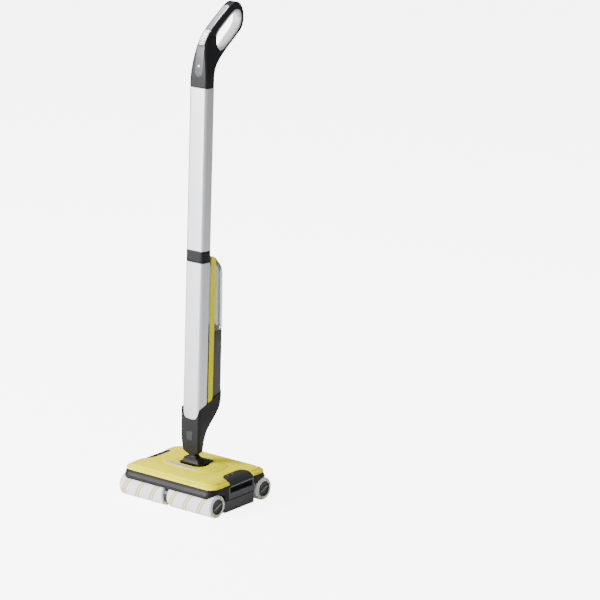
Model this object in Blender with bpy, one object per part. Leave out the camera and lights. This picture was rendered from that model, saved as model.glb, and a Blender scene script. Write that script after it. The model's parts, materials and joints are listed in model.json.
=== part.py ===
"""Wet dry floor scrubber: an upright cordless floor washer with two pairs of microfibre rollers.

Frame: metres, +Z up. The floor is Z = 0. X runs along the rollers, and the front is -Y.
The origin is on the floor, under the middle of the whole machine's box.
Left is -X and right is +X, as seen from the front.
The head is modelled about its own middle, and the stick about its tilt axis, in stick axes:
x across, y backwards and z up along the stick.
"""

import math

import bmesh
import bpy
from mathutils import Vector

# Rollers and gear train
ROLLER_RADIUS = 0.029
ROLLER_END = 0.150          # outermost x of a roller cap
SLEEVE_START = 0.0075       # inner x of a sleeve, beside the gear case
SLEEVE_STOP = 0.149
SLEEVE_BORE = 0.0198
CORE_RADIUS = 0.0194
CORE_BORE = 0.0064
AXLE_RADIUS = 0.006
AXLE_HALF = 0.143
GEAR_COUNT = 6              # two axle gears and four idlers, in one line
GEAR_TEETH = 24
PINION_TEETH = 8
PITCH_RADIUS = 0.0176
AXLE_Y = PITCH_RADIUS * (GEAR_COUNT - 1)
AXLE_Z = ROLLER_RADIUS
GEAR_HALF = 0.003           # half of a gear's thickness
IDLER_BORE = 0.0033
IDLER_PIN = 0.003
CASE_RADIUS = 0.0225        # gear case, outside
CASE_WALL = 0.0022
CASE_HALF = 0.006
CASE_PLATE = 0.0036         # inner x of a case's flat wall
BUSH_RADIUS = 0.0092
MOTOR_RADIUS = 0.0165

# Head
HEAD_HALF_X = 0.147
HEAD_HALF_Y = 0.104
COVER_FOOT = 0.0716         # z of the cover's lower edge
COVER_TOP = 0.090
COVER_WALL = 0.0024
CHASSIS_TOP = 0.0712
HOOD_FOOT = 0.0505          # z of the front and rear bumper's lower edge
ROLLER_ROOM = 0.0305        # radius cut out around each roller
CORE_HALF_Y = 0.0565        # half length of the head between the rollers
BAY_START = 0.072           # inner x of a dirty water bay
BAY_BACK = 0.054
BAY_FRONT = -0.042
BAY_FLOOR = 0.0345
TANK_TOP = 0.0665

# Joint between head and stick
PIVOT_Y = -0.0033
PIVOT_Z = 0.104
LEAN = math.radians(2.65)   # the parked stick leans back by this much
SWIVEL_RISE = 0.015         # swivel axis above the tilt axis
TONGUE_HALF = 0.007
KNUCKLE_HALF = 0.016
PIN_RADIUS = 0.003

# Stick, in stick axes
TUBE_HALF_X = 0.028
TUBE_HALF_Y = 0.017
TUBE_CORNER = 0.009
TUBE_WALL = 0.0016
TUBE_FOOT = 0.060
BAND_FOOT = 0.496
BAND_TOP = 0.525
TUBE_TOP = 0.926
NECK_HALF_X = 0.0300
BODY_HALF_X = 0.025         # tank and back cover
BODY_BACK = 0.0748
COVER_SPLIT = 0.318         # where the back cover ends and the fresh water tank starts
TANK_ROOF = 0.503
ACCENT_BACK = 0.033
LOOP_HALF_X = 0.012         # half thickness of the handle loop

BUTTON_HALF = 0.0048
BUTTON_HALF_X = 0.0062
BUTTON_SPANS = {            # two points (y, z) on the stem's front that a button lies between
    "power_button": ((-0.0060, 1.0285), (0.0008, 1.0340)),
    "boost_button": ((-0.0112, 1.0070), (-0.0084, 1.0200)),
}

GAP = 0.0003                # between touching pieces
HEAD_SHIFT = -0.0318        # the head's middle, from the middle of the whole machine

FINISHES = {
    "yellow": ((0.87, 0.80, 0.03), 0.32, 0.0),
    "dark": ((0.055, 0.055, 0.058), 0.45, 0.0),
    "graphite": ((0.11, 0.11, 0.115), 0.5, 0.0),
    "silver": ((0.72, 0.72, 0.73), 0.28, 0.9),
    "light_grey": ((0.42, 0.42, 0.43), 0.4, 0.0),
    "fleece": ((0.86, 0.85, 0.83), 0.95, 0.0),
    "smoke": ((0.4, 0.4, 0.41), 0.12, 0.0),
    "steel": ((0.6, 0.6, 0.62), 0.3, 1.0),
    "nylon": ((0.8, 0.79, 0.75), 0.5, 0.0),
    "rubber": ((0.03, 0.03, 0.03), 0.7, 0.0),
    "board": ((0.03, 0.17, 0.07), 0.4, 0.0),
    "cell_wrap": ((0.05, 0.16, 0.4), 0.4, 0.0),
}


# Shared modelling steps


def clear_scene():
    for obj in list(bpy.data.objects):
        bpy.data.objects.remove(obj, do_unlink=True)


def finish(name):
    """The named material, made on first use."""
    found = bpy.data.materials.get(name)
    if found:
        return found
    colour, roughness, metallic = FINISHES[name]
    made = bpy.data.materials.new(name)
    made.use_nodes = True
    made.diffuse_color = (*colour, 1.0)
    shader = made.node_tree.nodes["Principled BSDF"]
    shader.inputs["Base Color"].default_value = (*colour, 1.0)
    shader.inputs["Roughness"].default_value = roughness
    shader.inputs["Metallic"].default_value = metallic
    return made


def empty(name, at, lean=0.0):
    made = bpy.data.objects.new(name, None)
    made.location = at
    made.rotation_euler = (-lean, 0.0, 0.0)
    bpy.context.scene.collection.objects.link(made)
    return made


def link(name, mesh, look, parent, at=(0, 0, 0)):
    made = bpy.data.objects.new(name, mesh)
    made.location = at
    made.parent = parent
    bpy.context.scene.collection.objects.link(made)
    if look:
        if not mesh.materials:
            mesh.materials.append(finish(look))
        mesh.shade_smooth()
        mesh.set_sharp_from_angle(angle=math.radians(30))
    return made


def mesh_of(name, shape):
    """A mesh from a bmesh, with its faces turned outwards."""
    bmesh.ops.remove_doubles(shape, verts=shape.verts, dist=1e-6)
    bmesh.ops.recalc_face_normals(shape, faces=shape.faces)
    mesh = bpy.data.meshes.new(name)
    shape.to_mesh(mesh)
    shape.free()
    return mesh


def loft(name, rings, closed=False):
    """One skin through rings of equal length. The ends are capped, unless the rings close on themselves."""
    shape = bmesh.new()
    made = [[shape.verts.new(point) for point in ring] for ring in rings]
    pairs = list(zip(made, made[1:]))
    if closed:
        pairs.append((made[-1], made[0]))
    for low, high in pairs:
        for i in range(len(low)):
            j = (i + 1) % len(low)
            shape.faces.new((low[i], low[j], high[j], high[i]))
    if not closed:
        shape.faces.new(made[0])
        shape.faces.new(made[-1])
    return mesh_of(name, shape)


def along_x(outline, x):
    return [(x, y, z) for y, z in outline]


def along_y(outline, y):
    return [(x, y, z) for x, z in outline]


def along_z(outline, z):
    return [(x, y, z) for x, y in outline]


def prism(name, outline, low, high, along=along_z):
    return loft(name, [along(outline, low), along(outline, high)])


def box(name, low, high):
    corners = [(low[0], low[1]), (high[0], low[1]), (high[0], high[1]), (low[0], high[1])]
    return prism(name, corners, low[2], high[2])


def arc(centre, radius, start, stop, steps):
    """Points on a circle, from one angle to the other in degrees, both ends included."""
    angles = [math.radians(start + (stop - start) * i / steps) for i in range(steps + 1)]
    return [(centre[0] + radius * math.cos(a), centre[1] + radius * math.sin(a)) for a in angles]


def circle(centre, radius, sides=32):
    return arc(centre, radius, 0, 360, sides)[:-1]


def rounded(half_x, half_y, radius, centre=(0.0, 0.0), steps=5):
    """A rectangle with round corners."""
    points = []
    for i, (sx, sy) in enumerate(((1, 1), (-1, 1), (-1, -1), (1, -1))):
        middle = (centre[0] + sx * (half_x - radius), centre[1] + sy * (half_y - radius))
        points += arc(middle, radius, 90 * i, 90 * i + 90, steps)
    return points


def smooth_loop(points, per_span=3):
    """A closed Catmull-Rom curve through the points."""
    curve = []
    count = len(points)
    for i in range(count):
        a, b, c, d = (Vector(points[(i + k) % count]) for k in (-1, 0, 1, 2))
        for step in range(per_span):
            t = step / per_span
            curve.append(
                0.5 * (2 * b + (c - a) * t + (2 * a - 5 * b + 4 * c - d) * t**2
                       + (3 * b - a - 3 * c + d) * t**3)
            )
    return [tuple(point) for point in curve]


def ring_bar(name, outer, inner, low, high, sides=32):
    """A round bar along X with a bore, about the X axis."""
    wide, narrow = circle((0, 0), outer, sides), circle((0, 0), inner, sides)
    rings = [along_x(wide, low), along_x(wide, high), along_x(narrow, high), along_x(narrow, low)]
    return loft(name, rings, closed=True)


def combine(target, mesh, operation="DIFFERENCE", at=(0, 0, 0), turn=None):
    """A live Boolean on the target. The second shape is a hidden helper in the same axes."""
    helper = bpy.data.objects.new(mesh.name, mesh)
    helper.parent = target.parent
    helper.location = at
    if turn:
        helper.rotation_euler = turn
    helper.hide_render = True
    helper.display_type = "WIRE"
    bpy.context.scene.collection.objects.link(helper)
    modifier = target.modifiers.new(mesh.name, "BOOLEAN")
    modifier.operation = operation
    modifier.solver = "EXACT"
    modifier.object = helper
    return target


def both_sides(make):
    """Calls make with each side's name and sign."""
    for side, sign in (("left", -1), ("right", 1)):
        make(side, sign)


def sided(sign, low, high):
    """A span of x on one side, in rising order."""
    return (low, high) if sign > 0 else (-high, -low)


# Gear train and rollers


def gear_outline(teeth, pitch, phase):
    """Trapezoid teeth: a narrow tip one module above the pitch circle and a root 1.2 modules below it."""
    module = 2 * pitch / teeth
    step = 2 * math.pi / teeth
    points = []
    for tooth in range(teeth):
        for radius, share in (
            (pitch - 1.2 * module, -0.33),
            (pitch + 0.9 * module, -0.12),
            (pitch + 0.9 * module, 0.12),
            (pitch - 1.2 * module, 0.33),
        ):
            angle = phase + (tooth + share) * step
            points.append((radius * math.cos(angle), radius * math.sin(angle)))
    return points


def gear(name, teeth, pitch, phase, bore, parent, at):
    outline = gear_outline(teeth, pitch, phase)
    made = link(name, prism(name, outline, -GEAR_HALF, GEAR_HALF, along_x), "nylon", parent, at)
    if bore:
        combine(made, prism("gear_bore", circle((0, 0), bore, 24), -0.01, 0.01, along_x), at=at)
    return made


def gear_train(head):
    half_pitch = math.pi / GEAR_TEETH
    names = ("front_axle_gear", "idler_gear_1", "idler_gear_2", "idler_gear_3", "idler_gear_4",
             "rear_axle_gear")
    for i, name in enumerate(names):
        bore = AXLE_RADIUS + 0.0001 if name.endswith("axle_gear") else IDLER_BORE
        at = (0, -AXLE_Y + 2 * PITCH_RADIUS * i, AXLE_Z)
        gear(name, GEAR_TEETH, PITCH_RADIUS, half_pitch * (i % 2), bore, head, at)
    pinion_pitch = PITCH_RADIUS * PINION_TEETH / GEAR_TEETH
    at = (0, PITCH_RADIUS, AXLE_Z + PITCH_RADIUS + pinion_pitch)
    pinion = gear("motor_pinion", PINION_TEETH, pinion_pitch, -math.pi / 2, 0, head, at)
    shaft = prism("pinion_shaft", circle((0, 0), 0.002, 16), 0.002, 0.012, along_x)
    combine(pinion, shaft, "UNION", at)
    return at


def axle(name, y, head):
    mesh = prism(name, circle((0, 0), AXLE_RADIUS, 24), -AXLE_HALF, AXLE_HALF, along_x)
    link(name, mesh, "steel", head, (0, y, AXLE_Z))


def roller(end, side, sign, y, head):
    """One half roller: a core on the axle, a fleece sleeve and an end cap with a grip bar."""
    at = (0, y, AXLE_Z)
    core = ring_bar("core", CORE_RADIUS, CORE_BORE, *sided(sign, SLEEVE_START + GAP, AXLE_HALF + 0.0002), 24)
    link(f"{end}_roller_core_{side}", core, "graphite", head, at)
    sleeve = ring_bar("sleeve", ROLLER_RADIUS, SLEEVE_BORE, *sided(sign, SLEEVE_START, SLEEVE_STOP), 40)
    link(f"{end}_roller_sleeve_{side}", sleeve, "fleece", head, at)
    disc = prism("cap", circle((0, 0), CORE_RADIUS, 32), *sided(sign, 0.1436, 0.1484), along_x)
    cap = link(f"{end}_roller_cap_{side}", disc, "dark", head, at)
    bar = rounded(0.0186, 0.0028, 0.001, steps=2)
    turned = [(a * 0.90 - b * 0.43, a * 0.43 + b * 0.90) for a, b in bar]
    combine(cap, prism("grip_bar", turned, *sided(sign, 0.148, ROLLER_END), along_x), "UNION", at)


def bushes(end, y, head):
    def bush(side, sign):
        ring = ring_bar("bush", BUSH_RADIUS, AXLE_RADIUS + 0.0001, *sided(sign, CASE_PLATE, CASE_HALF), 24)
        link(f"{end}_bush_{side}", ring, "nylon", head, (0, y, AXLE_Z))
    both_sides(bush)


def case_outline(radius, pinion_radius, pinion):
    """A long round-ended outline about the gear line, with a round hump over the pinion."""
    top = AXLE_Z + radius
    reach = math.degrees(math.asin((top - pinion[2]) / pinion_radius))
    points = arc((-AXLE_Y, AXLE_Z), radius, 270, 90, 10)
    points += arc((pinion[1], pinion[2]), pinion_radius, 180 - reach, reach, 8)
    points += arc((AXLE_Y, AXLE_Z), radius, 90, -90, 10)
    return points


def gear_case(pinion, head):
    def half(side, sign):
        plate = case_outline(CASE_RADIUS, 0.0108, pinion)
        inner = case_outline(CASE_RADIUS - CASE_WALL, 0.0086, pinion)
        case = link(f"gear_case_{side}", prism("case", plate, *sided(sign, 0.5 * GAP, CASE_HALF), along_x),
                    "dark", head)
        combine(case, prism("case_room", inner, *sided(sign, -0.001, CASE_PLATE - GAP), along_x))
        for y in (-AXLE_Y, AXLE_Y):
            hole = circle((y, AXLE_Z), BUSH_RADIUS + GAP, 24)
            combine(case, prism("bush_hole", hole, *sided(sign, 0.001, 0.008), along_x))
        if sign > 0:
            hole = circle((pinion[1], pinion[2]), 0.0024, 16)
            combine(case, prism("shaft_hole", hole, 0.001, 0.008, along_x))
            for i in range(1, GEAR_COUNT - 1):
                pin = circle((-AXLE_Y + 2 * PITCH_RADIUS * i, AXLE_Z), IDLER_PIN, 12)
                combine(case, prism("idler_pin", pin, -0.0028, 0.004, along_x), "UNION")
        else:
            for i in range(1, GEAR_COUNT - 1):
                hole = circle((-AXLE_Y + 2 * PITCH_RADIUS * i, AXLE_Z), IDLER_PIN + GAP, 12)
                combine(case, prism("pin_hole", hole, -0.0045, -0.002, along_x))
    both_sides(half)


def drive_motor(pinion, head):
    at = (0, pinion[1], pinion[2])
    motor = link("drive_motor", prism("motor", circle((0, 0), MOTOR_RADIUS, 32), 0.0066, 0.062, along_x),
                 "steel", head, at)
    combine(motor, prism("shaft_room", circle((0, 0), 0.0024, 16), 0.005, 0.0125, along_x), at=at)


# Head


def head_rings(sizes):
    return [along_z(rounded(x, y, r, steps=8), z) for x, y, r, z in sizes]


def roller_room(target):
    for y in (-AXLE_Y, AXLE_Y):
        combine(target, prism("roller_room", circle((y, AXLE_Z), ROLLER_ROOM, 48), -0.2, 0.2, along_x))


def head_chassis(pinion, head):
    """The dark body: bumper and hoods over the rollers, with bays for the motor and the dirty water."""
    hood = head_rings(((0.1462, 0.1103, 0.023, HOOD_FOOT), (0.1472, 0.1095, 0.024, 0.058),
                       (0.1464, 0.1062, 0.024, 0.066), (0.1450, 0.1020, 0.0235, CHASSIS_TOP)))
    chassis = link("head_chassis", loft("chassis", hood), "dark", head)
    combine(chassis, prism("core", rounded(0.1456, CORE_HALF_Y, 0.006), 0.0315, 0.055), "UNION")
    roller_room(chassis)
    combine(chassis, box("motor_room", (-0.066, -0.054, BAY_FLOOR), (0.066, 0.0555, 0.08)))
    combine(chassis, prism("case_slot", case_outline(CASE_RADIUS + 0.0006, 0.0114, pinion),
                           -CASE_HALF - 0.0004, CASE_HALF + 0.0004, along_x))
    combine(chassis, box("case_slot_foot", (-0.0064, -0.09, 0.02), (0.0064, 0.09, 0.045)))
    for sign in (-1, 1):
        x = sided(sign, BAY_START, 0.2)
        low = (x[0], BAY_FRONT - 0.001, BAY_FLOOR - GAP)
        combine(chassis, box("bay", low, (x[1], BAY_BACK + 0.001, TANK_TOP + 0.001)))
        latch = rounded(0.045, 0.046, 0.006, (sign * 0.158, 0.006))
        combine(chassis, prism("latch_room", latch, 0.0662, 0.09))
    for sign in (-1, 1):
        combine(chassis, box("blade_slot", (-0.1385, -0.0015, -0.003), (0.1385, 0.0015, 0.0055)),
                at=blade_place(sign), turn=(sign * math.radians(30), 0, 0))
    return chassis


def blade_place(sign):
    """A scraper blade's middle: 60 degrees up from the axle, towards the middle of the head."""
    reach = ROLLER_RADIUS + 0.0009
    angle = math.radians(60)
    return (0, sign * (AXLE_Y - reach * math.cos(angle)), AXLE_Z + reach * math.sin(angle))


def scrapers(head):
    for end, sign in (("front", -1), ("rear", 1)):
        blade = box("blade", (-0.138, -0.0011, -0.0005), (0.138, 0.0011, 0.005))
        made = link(f"{end}_scraper", blade, "rubber", head, blade_place(sign))
        made.rotation_euler = (sign * math.radians(30), 0, 0)


def head_cover(head):
    """The yellow cover: a thin shell with a stepped rim, a flat crown and a notch for each tank latch."""
    outer = ((0.1465, 0.1035, 0.024, COVER_FOOT), (HEAD_HALF_X, HEAD_HALF_Y, 0.024, 0.0745),
             (0.1442, 0.1012, 0.0235, 0.0785), (0.131, 0.089, 0.025, 0.0833),
             (0.108, 0.069, 0.032, 0.0873), (0.076, 0.050, 0.034, COVER_TOP))
    inner = tuple((x - COVER_WALL, y - COVER_WALL, r - 0.001, max(z - COVER_WALL, COVER_FOOT))
                  for x, y, r, z in outer)
    rings = head_rings(outer[::-1]) + head_rings(inner[:1]) + head_rings(inner[2:])
    cover = link("head_cover", loft("cover", rings), "yellow", head)
    for sign in (-1, 1):
        combine(cover, prism("latch_notch", latch_outline(sign, 0.0012), 0.06, 0.1))
    combine(cover, prism("joint_hole", rounded(0.0205, 0.0155, 0.004, (0, 0.004)), 0.08, 0.1))


def latch_outline(sign, room=0.0):
    """The latch seen from above: wide at the side of the head, narrowing in an arch towards the middle."""
    points = [(0.150, -0.038 - room), (0.150, 0.050 + room), (0.136, 0.050 + room), (0.121, 0.043 + room)]
    points += [(0.1145 - room, 0.034), (0.1130 - room, 0.024)]
    points += [(0.1130 - room, -0.012), (0.1145 - room, -0.022)]
    points += [(0.121, -0.031 - room), (0.136, -0.038 - room)]
    return [(sign * x, y) for x, y in points]


def tank_latch(side, sign, head):
    """A sloping plate that lies in the cover's surface and turns about its lower edge."""
    skin = [(0.1472, 0.0678), (0.1478, 0.0745), (0.1450, 0.0792), (0.1315, 0.0842), (0.1120, 0.0874)]
    back = [(0.1120, 0.0842), (0.1305, 0.0810), (0.1425, 0.0768), (0.1445, 0.0735), (0.1440, 0.0678)]
    outline = [(sign * (x - 0.144), z - 0.0695) for x, z in skin + back]
    at = (sign * 0.144, 0, 0.0695)
    latch = link(f"tank_latch_{side}", prism("latch", outline, -0.04, 0.052, along_y), "dark", head, at)
    combine(latch, prism("latch_edge", latch_outline(sign), 0.06, 0.1), "INTERSECT")


def dirty_tank(side, sign, head):
    """A drawer with an open water tray, and a grip recess in its outer face."""
    x = sided(sign, BAY_START + 0.001, 0.1458)
    body = box("tank", (x[0], BAY_FRONT, BAY_FLOOR + GAP), (x[1], BAY_BACK, TANK_TOP))
    tank = link(f"dirty_tank_{side}", body, "graphite", head)
    tray = sided(sign, BAY_START + 0.003, 0.124)
    floor = BAY_FLOOR + 0.0025
    combine(tank, box("tray", (tray[0], BAY_FRONT + 0.002, floor), (tray[1], BAY_BACK - 0.002, 0.08)))
    grip = sided(sign, 0.1265, 0.16)
    combine(tank, box("grip", (grip[0], BAY_FRONT + 0.006, 0.0495), (grip[1], BAY_BACK - 0.006, 0.0645)))


def base_plate(head):
    """The floor pan between the rollers, slotted from above for the gear case."""
    plan = rounded(0.1448, CORE_HALF_Y, 0.005)
    pan = link("base_plate", prism("pan", plan, 0.0035, 0.0311), "graphite", head)
    combine(pan, box("pan_slot", (-0.0064, -0.07, 0.0060), (0.0064, 0.07, 0.04)))
    for sign in (-1, 1):
        x = sided(sign, 0.010, 0.1395)
        combine(pan, box("pan_room", (x[0], -0.051, 0.0065), (x[1], 0.051, 0.04)))


def cover_badge(head):
    """A blank silver strip lying on the crown, along its front edge and round its left corner."""
    outline = [(-0.070, -0.012), (-0.063, -0.0125), (-0.055, -0.028), (-0.040, -0.0365), (0.030, -0.0365)]
    outline += [(0.040, -0.042), (0.022, -0.0455), (-0.045, -0.0455), (-0.062, -0.037), (-0.070, -0.024)]
    link("cover_badge", prism("badge", outline, COVER_TOP + GAP, COVER_TOP + 0.0011), "silver", head)


def joint_base(head):
    """A low pyramid on the cover, with a tongue for the tilt pin and a stub through the cover."""
    sizes = ((0.0340, 0.0285, 0.004, COVER_TOP + GAP), (0.0330, 0.0275, 0.004, 0.0925),
             (0.0150, 0.0130, 0.003, 0.1008))
    rings = [along_z(rounded(x, y, r, (0, 0.007), 3), z) for x, y, r, z in sizes]
    base = link("joint_base", loft("pyramid", rings), "dark", head)
    combine(base, prism("stub", rounded(0.020, 0.015, 0.004, (0, 0.004)), 0.078, 0.092), "UNION")
    tongue = arc((PIVOT_Y, PIVOT_Z), 0.0073, 0, 180, 10)
    tongue += [(PIVOT_Y - 0.0073, 0.0905), (PIVOT_Y + 0.0073, 0.0905)]
    combine(base, prism("room", circle((PIVOT_Y, PIVOT_Z), 0.0125, 32), -0.0168, 0.0168, along_x))
    combine(base, box("neck_rest", (-0.0345, 0.0010, 0.0925), (0.0345, 0.05, 0.13)))
    combine(base, prism("tongue", tongue, -TONGUE_HALF, TONGUE_HALF, along_x), "UNION")
    combine(base, prism("pin_hole", circle((PIVOT_Y, PIVOT_Z), PIN_RADIUS + GAP, 20), -0.02, 0.02, along_x))


def tilt_pin(head):
    pin = prism("pin", circle((0, 0), PIN_RADIUS, 20), -0.0120, 0.0120, along_x)
    link("tilt_pin", pin, "steel", head, (0, PIVOT_Y, PIVOT_Z))


# Joint and stick, in stick axes


def joint_knuckle(stick):
    """A fork over the tilt pin, open behind for the base's tongue, with the swivel's tongue above."""
    half = KNUCKLE_HALF
    neck_y = 0.0080
    side = arc((0, 0), 0.0108, 180, 360, 16) + [(0.0104, 0.0022), (neck_y, 0.0024), (neck_y, 0.025)]
    side += [(-neck_y, 0.025), (-neck_y, 0.0024), (-0.0104, 0.0022)]
    knuckle = link("joint_knuckle", prism("fork", side, -half - 0.004, half + 0.004, along_x), "dark", stick)
    face = [(half, -0.02), (half, -0.001), (0.0125, 0.0042), (0.0085, 0.0080)]
    face += arc((0, SWIVEL_RISE), 0.0085, 0, 180, 16)
    face += [(-0.0085, 0.0080), (-0.0125, 0.0042), (-half, -0.001), (-half, -0.02)]
    combine(knuckle, prism("shoulders", face, -0.02, 0.02, along_y), "INTERSECT")
    room = [(-0.0092, -0.02), (0.02, -0.02), (0.02, 0.0059)] + arc((0, 0), 0.0092, 40, 180, 14)
    combine(knuckle, prism("fork_room", room, -TONGUE_HALF - GAP, TONGUE_HALF + GAP, along_x))
    combine(knuckle, prism("tilt_hole", circle((0, 0), PIN_RADIUS + GAP, 20), -0.0123, 0.0123, along_x))
    hole = circle((0, SWIVEL_RISE), PIN_RADIUS + GAP, 20)
    combine(knuckle, prism("swivel_hole", hole, -0.02, 0.02, along_y))


def neck_housing(stick):
    """The dark neck: a fork and pin for the swivel tongue, a tube socket and a hollow for the hose."""
    at = (0, 0, SWIVEL_RISE)
    flank = [(-0.0115, -0.0065), (-0.0148, 0.004), (-0.0187, 0.040), (-0.0195, 0.106), (0.0640, 0.106)]
    flank += [(0.0640, 0.0995), (0.0440, 0.075), (0.0265, 0.052), (0.0180, 0.031), (0.0148, 0.009),
              (0.0115, -0.0065)]
    neck = link("neck_housing", prism("neck", flank, -NECK_HALF_X, NECK_HALF_X, along_x), "dark", stick, at)
    face = [(-0.009, -0.0070), (0.009, -0.0070), (0.0255, 0.0015), (0.0293, 0.040), (0.0297, 0.110)]
    face += [(-0.0297, 0.110), (-0.0293, 0.040), (-0.0255, 0.0015)]
    combine(neck, prism("neck_front", face, -0.03, 0.08, along_y), "INTERSECT", at)
    socket = rounded(TUBE_HALF_X + GAP, TUBE_HALF_Y + GAP, TUBE_CORNER)
    combine(neck, prism("tube_socket", socket, TUBE_FOOT - SWIVEL_RISE - GAP, 0.12), at=at)
    dip = arc((0, 0.135), 0.049, 200, 340, 16)
    combine(neck, prism("front_dip", dip, -0.03, -0.012, along_y), at=at)
    room = arc((0, 0), 0.0097, 12, 168, 16) + arc((0, 0), 0.0182, 175, 365, 24)
    combine(neck, prism("tongue_room", room, -0.0084, 0.0084, along_y), at=at)
    combine(neck, prism("swivel_pin", circle((0, 0), PIN_RADIUS, 20), -0.0115, 0.0115, along_y), "UNION", at)
    back = [(0.0195, 0.12), (0.0595, 0.12), (0.0595, 0.1015), (0.0405, 0.0785), (0.0235, 0.056),
            (0.0195, 0.047)]
    combine(neck, prism("hose_room", back, -0.0235, 0.0235, along_x), at=at)
    combine(neck, box("hose_end", (-0.02, -0.011, 0.016), (0.02, 0.012, 0.06)), at=at)


def tube(name, low, high, stick):
    outer = rounded(TUBE_HALF_X, TUBE_HALF_Y, TUBE_CORNER)
    inner = rounded(TUBE_HALF_X - TUBE_WALL, TUBE_HALF_Y - TUBE_WALL, TUBE_CORNER - TUBE_WALL)
    rings = [along_z(outer, low), along_z(outer, high), along_z(inner, high), along_z(inner, low)]
    link(name, loft(name, rings, closed=True), "silver", stick)


def tube_collar(stick):
    """The dark band between the two tubes, with a hollow spigot up and down."""
    band = rounded(TUBE_HALF_X + 0.0002, TUBE_HALF_Y + 0.0002, TUBE_CORNER)
    fit = TUBE_WALL + GAP
    plug = rounded(TUBE_HALF_X - fit, TUBE_HALF_Y - fit, TUBE_CORNER - fit)
    bore = rounded(TUBE_HALF_X - 0.005, TUBE_HALF_Y - 0.005, TUBE_CORNER - 0.005)
    rings = [along_z(plug, BAND_FOOT - 0.03), along_z(plug, BAND_FOOT), along_z(band, BAND_FOOT),
             along_z(band, BAND_TOP), along_z(plug, BAND_TOP), along_z(plug, BAND_TOP + 0.03),
             along_z(bore, BAND_TOP + 0.03), along_z(bore, BAND_FOOT - 0.03)]
    link("tube_collar", loft("collar", rings, closed=True), "dark", stick)


def body_section(half_x, front, back, corner=0.014, steps=6):
    """A plan with a flat front and a rounded back, from the right front corner round the back."""
    points = [(half_x, front)] + arc((half_x - corner, back - corner), corner, 0, 90, steps)
    points += arc((corner - half_x, back - corner), corner, 90, 180, steps) + [(-half_x, front)]
    return points


def back_cover(stick):
    """The dark cover behind the lower tube. It holds the pump, and opens towards the tube."""
    front = TUBE_HALF_Y + GAP
    sizes = ((0.0215, 0.0655, 0.1215), (0.0235, 0.0735, 0.135), (BODY_HALF_X, BODY_BACK, 0.150),
             (BODY_HALF_X, BODY_BACK, 0.250), (BODY_HALF_X, 0.0742, COVER_SPLIT))
    rings = [along_z(body_section(x, front, back), z) for x, back, z in sizes]
    cover = link("back_cover", loft("back", rings), "dark", stick)
    combine(cover, box("pump_room", (-0.0215, 0.0, 0.130), (0.0215, 0.066, 0.306)))
    combine(cover, box("hose_way", (-0.010, 0.0, 0.10), (0.010, 0.055, 0.14)))


def fresh_tank(stick):
    """The smoke-grey tank on top of the back cover, with an arched roof and a filler mouth in its floor."""
    front, split = TUBE_HALF_Y + GAP, COVER_SPLIT + GAP
    side = [(front, split), (0.0742, split), (0.0728, 0.455)]
    side += arc((0.0448, 0.4690), 0.0275, 0, 78, 8) + [(0.034, 0.5015), (front, TANK_ROOF)]
    tank = link("fresh_tank", prism("tank", side, -BODY_HALF_X, BODY_HALF_X, along_x), "smoke", stick)
    plan = body_section(BODY_HALF_X, 0.0, 0.0744)
    combine(tank, prism("tank_plan", plan, 0.3, 0.52), "INTERSECT")
    room = [(front + 0.0025, split + 0.012), (0.0705, split + 0.012), (0.0695, 0.455)]
    room += arc((0.0448, 0.4690), 0.0245, 0, 78, 8) + [(front + 0.0025, TANK_ROOF - 0.003)]
    combine(tank, prism("tank_room", room, -0.0222, 0.0222, along_x))
    combine(tank, prism("mouth", circle((0, 0.047), 0.0105, 24), 0.31, 0.34))
    combine(tank, prism("cap_room", circle((0, 0.047), 0.0155, 32), 0.31, split + 0.009))


def tank_cap(stick):
    """A quarter-turn plug with a grip bar, flush in the tank's floor."""
    cap = link("tank_cap", prism("cap", circle((0, 0), 0.0150, 32), 0.0005, 0.0085), "dark", stick,
               (0, 0.047, COVER_SPLIT))
    at = (0, 0.047, COVER_SPLIT)
    combine(cap, prism("plug", circle((0, 0), 0.0100, 24), 0.008, 0.013), "UNION", at)
    for sign in (-1, 1):
        finger = [(-0.012, sign * 0.003), (0.012, sign * 0.003), (0.007, sign * 0.0125),
                  (-0.007, sign * 0.0125)]
        combine(cap, prism("finger_room", finger, 0.0, 0.005), at=at)


def accent_frame(stick):
    """The yellow frame: a strip down each side behind the tube, joined by a bridge over the tank."""
    inner, outer = BODY_HALF_X + 0.0004, BODY_HALF_X + 0.0026
    front, back = TUBE_HALF_Y + GAP, ACCENT_BACK
    side = [(front, 0.130), (0.0305, 0.143), (back, 0.160), (back, 0.490)]
    side += arc((back - 0.012, 0.497), 0.012, 0, 90, 5) + [(front, 0.509)]
    frame = link("accent_frame", prism("frame", side, -outer, outer, along_x), "yellow", stick)
    combine(frame, box("frame_room", (-inner, 0.0, 0.10), (inner, 0.05, TANK_ROOF + 0.0004)))


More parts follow.
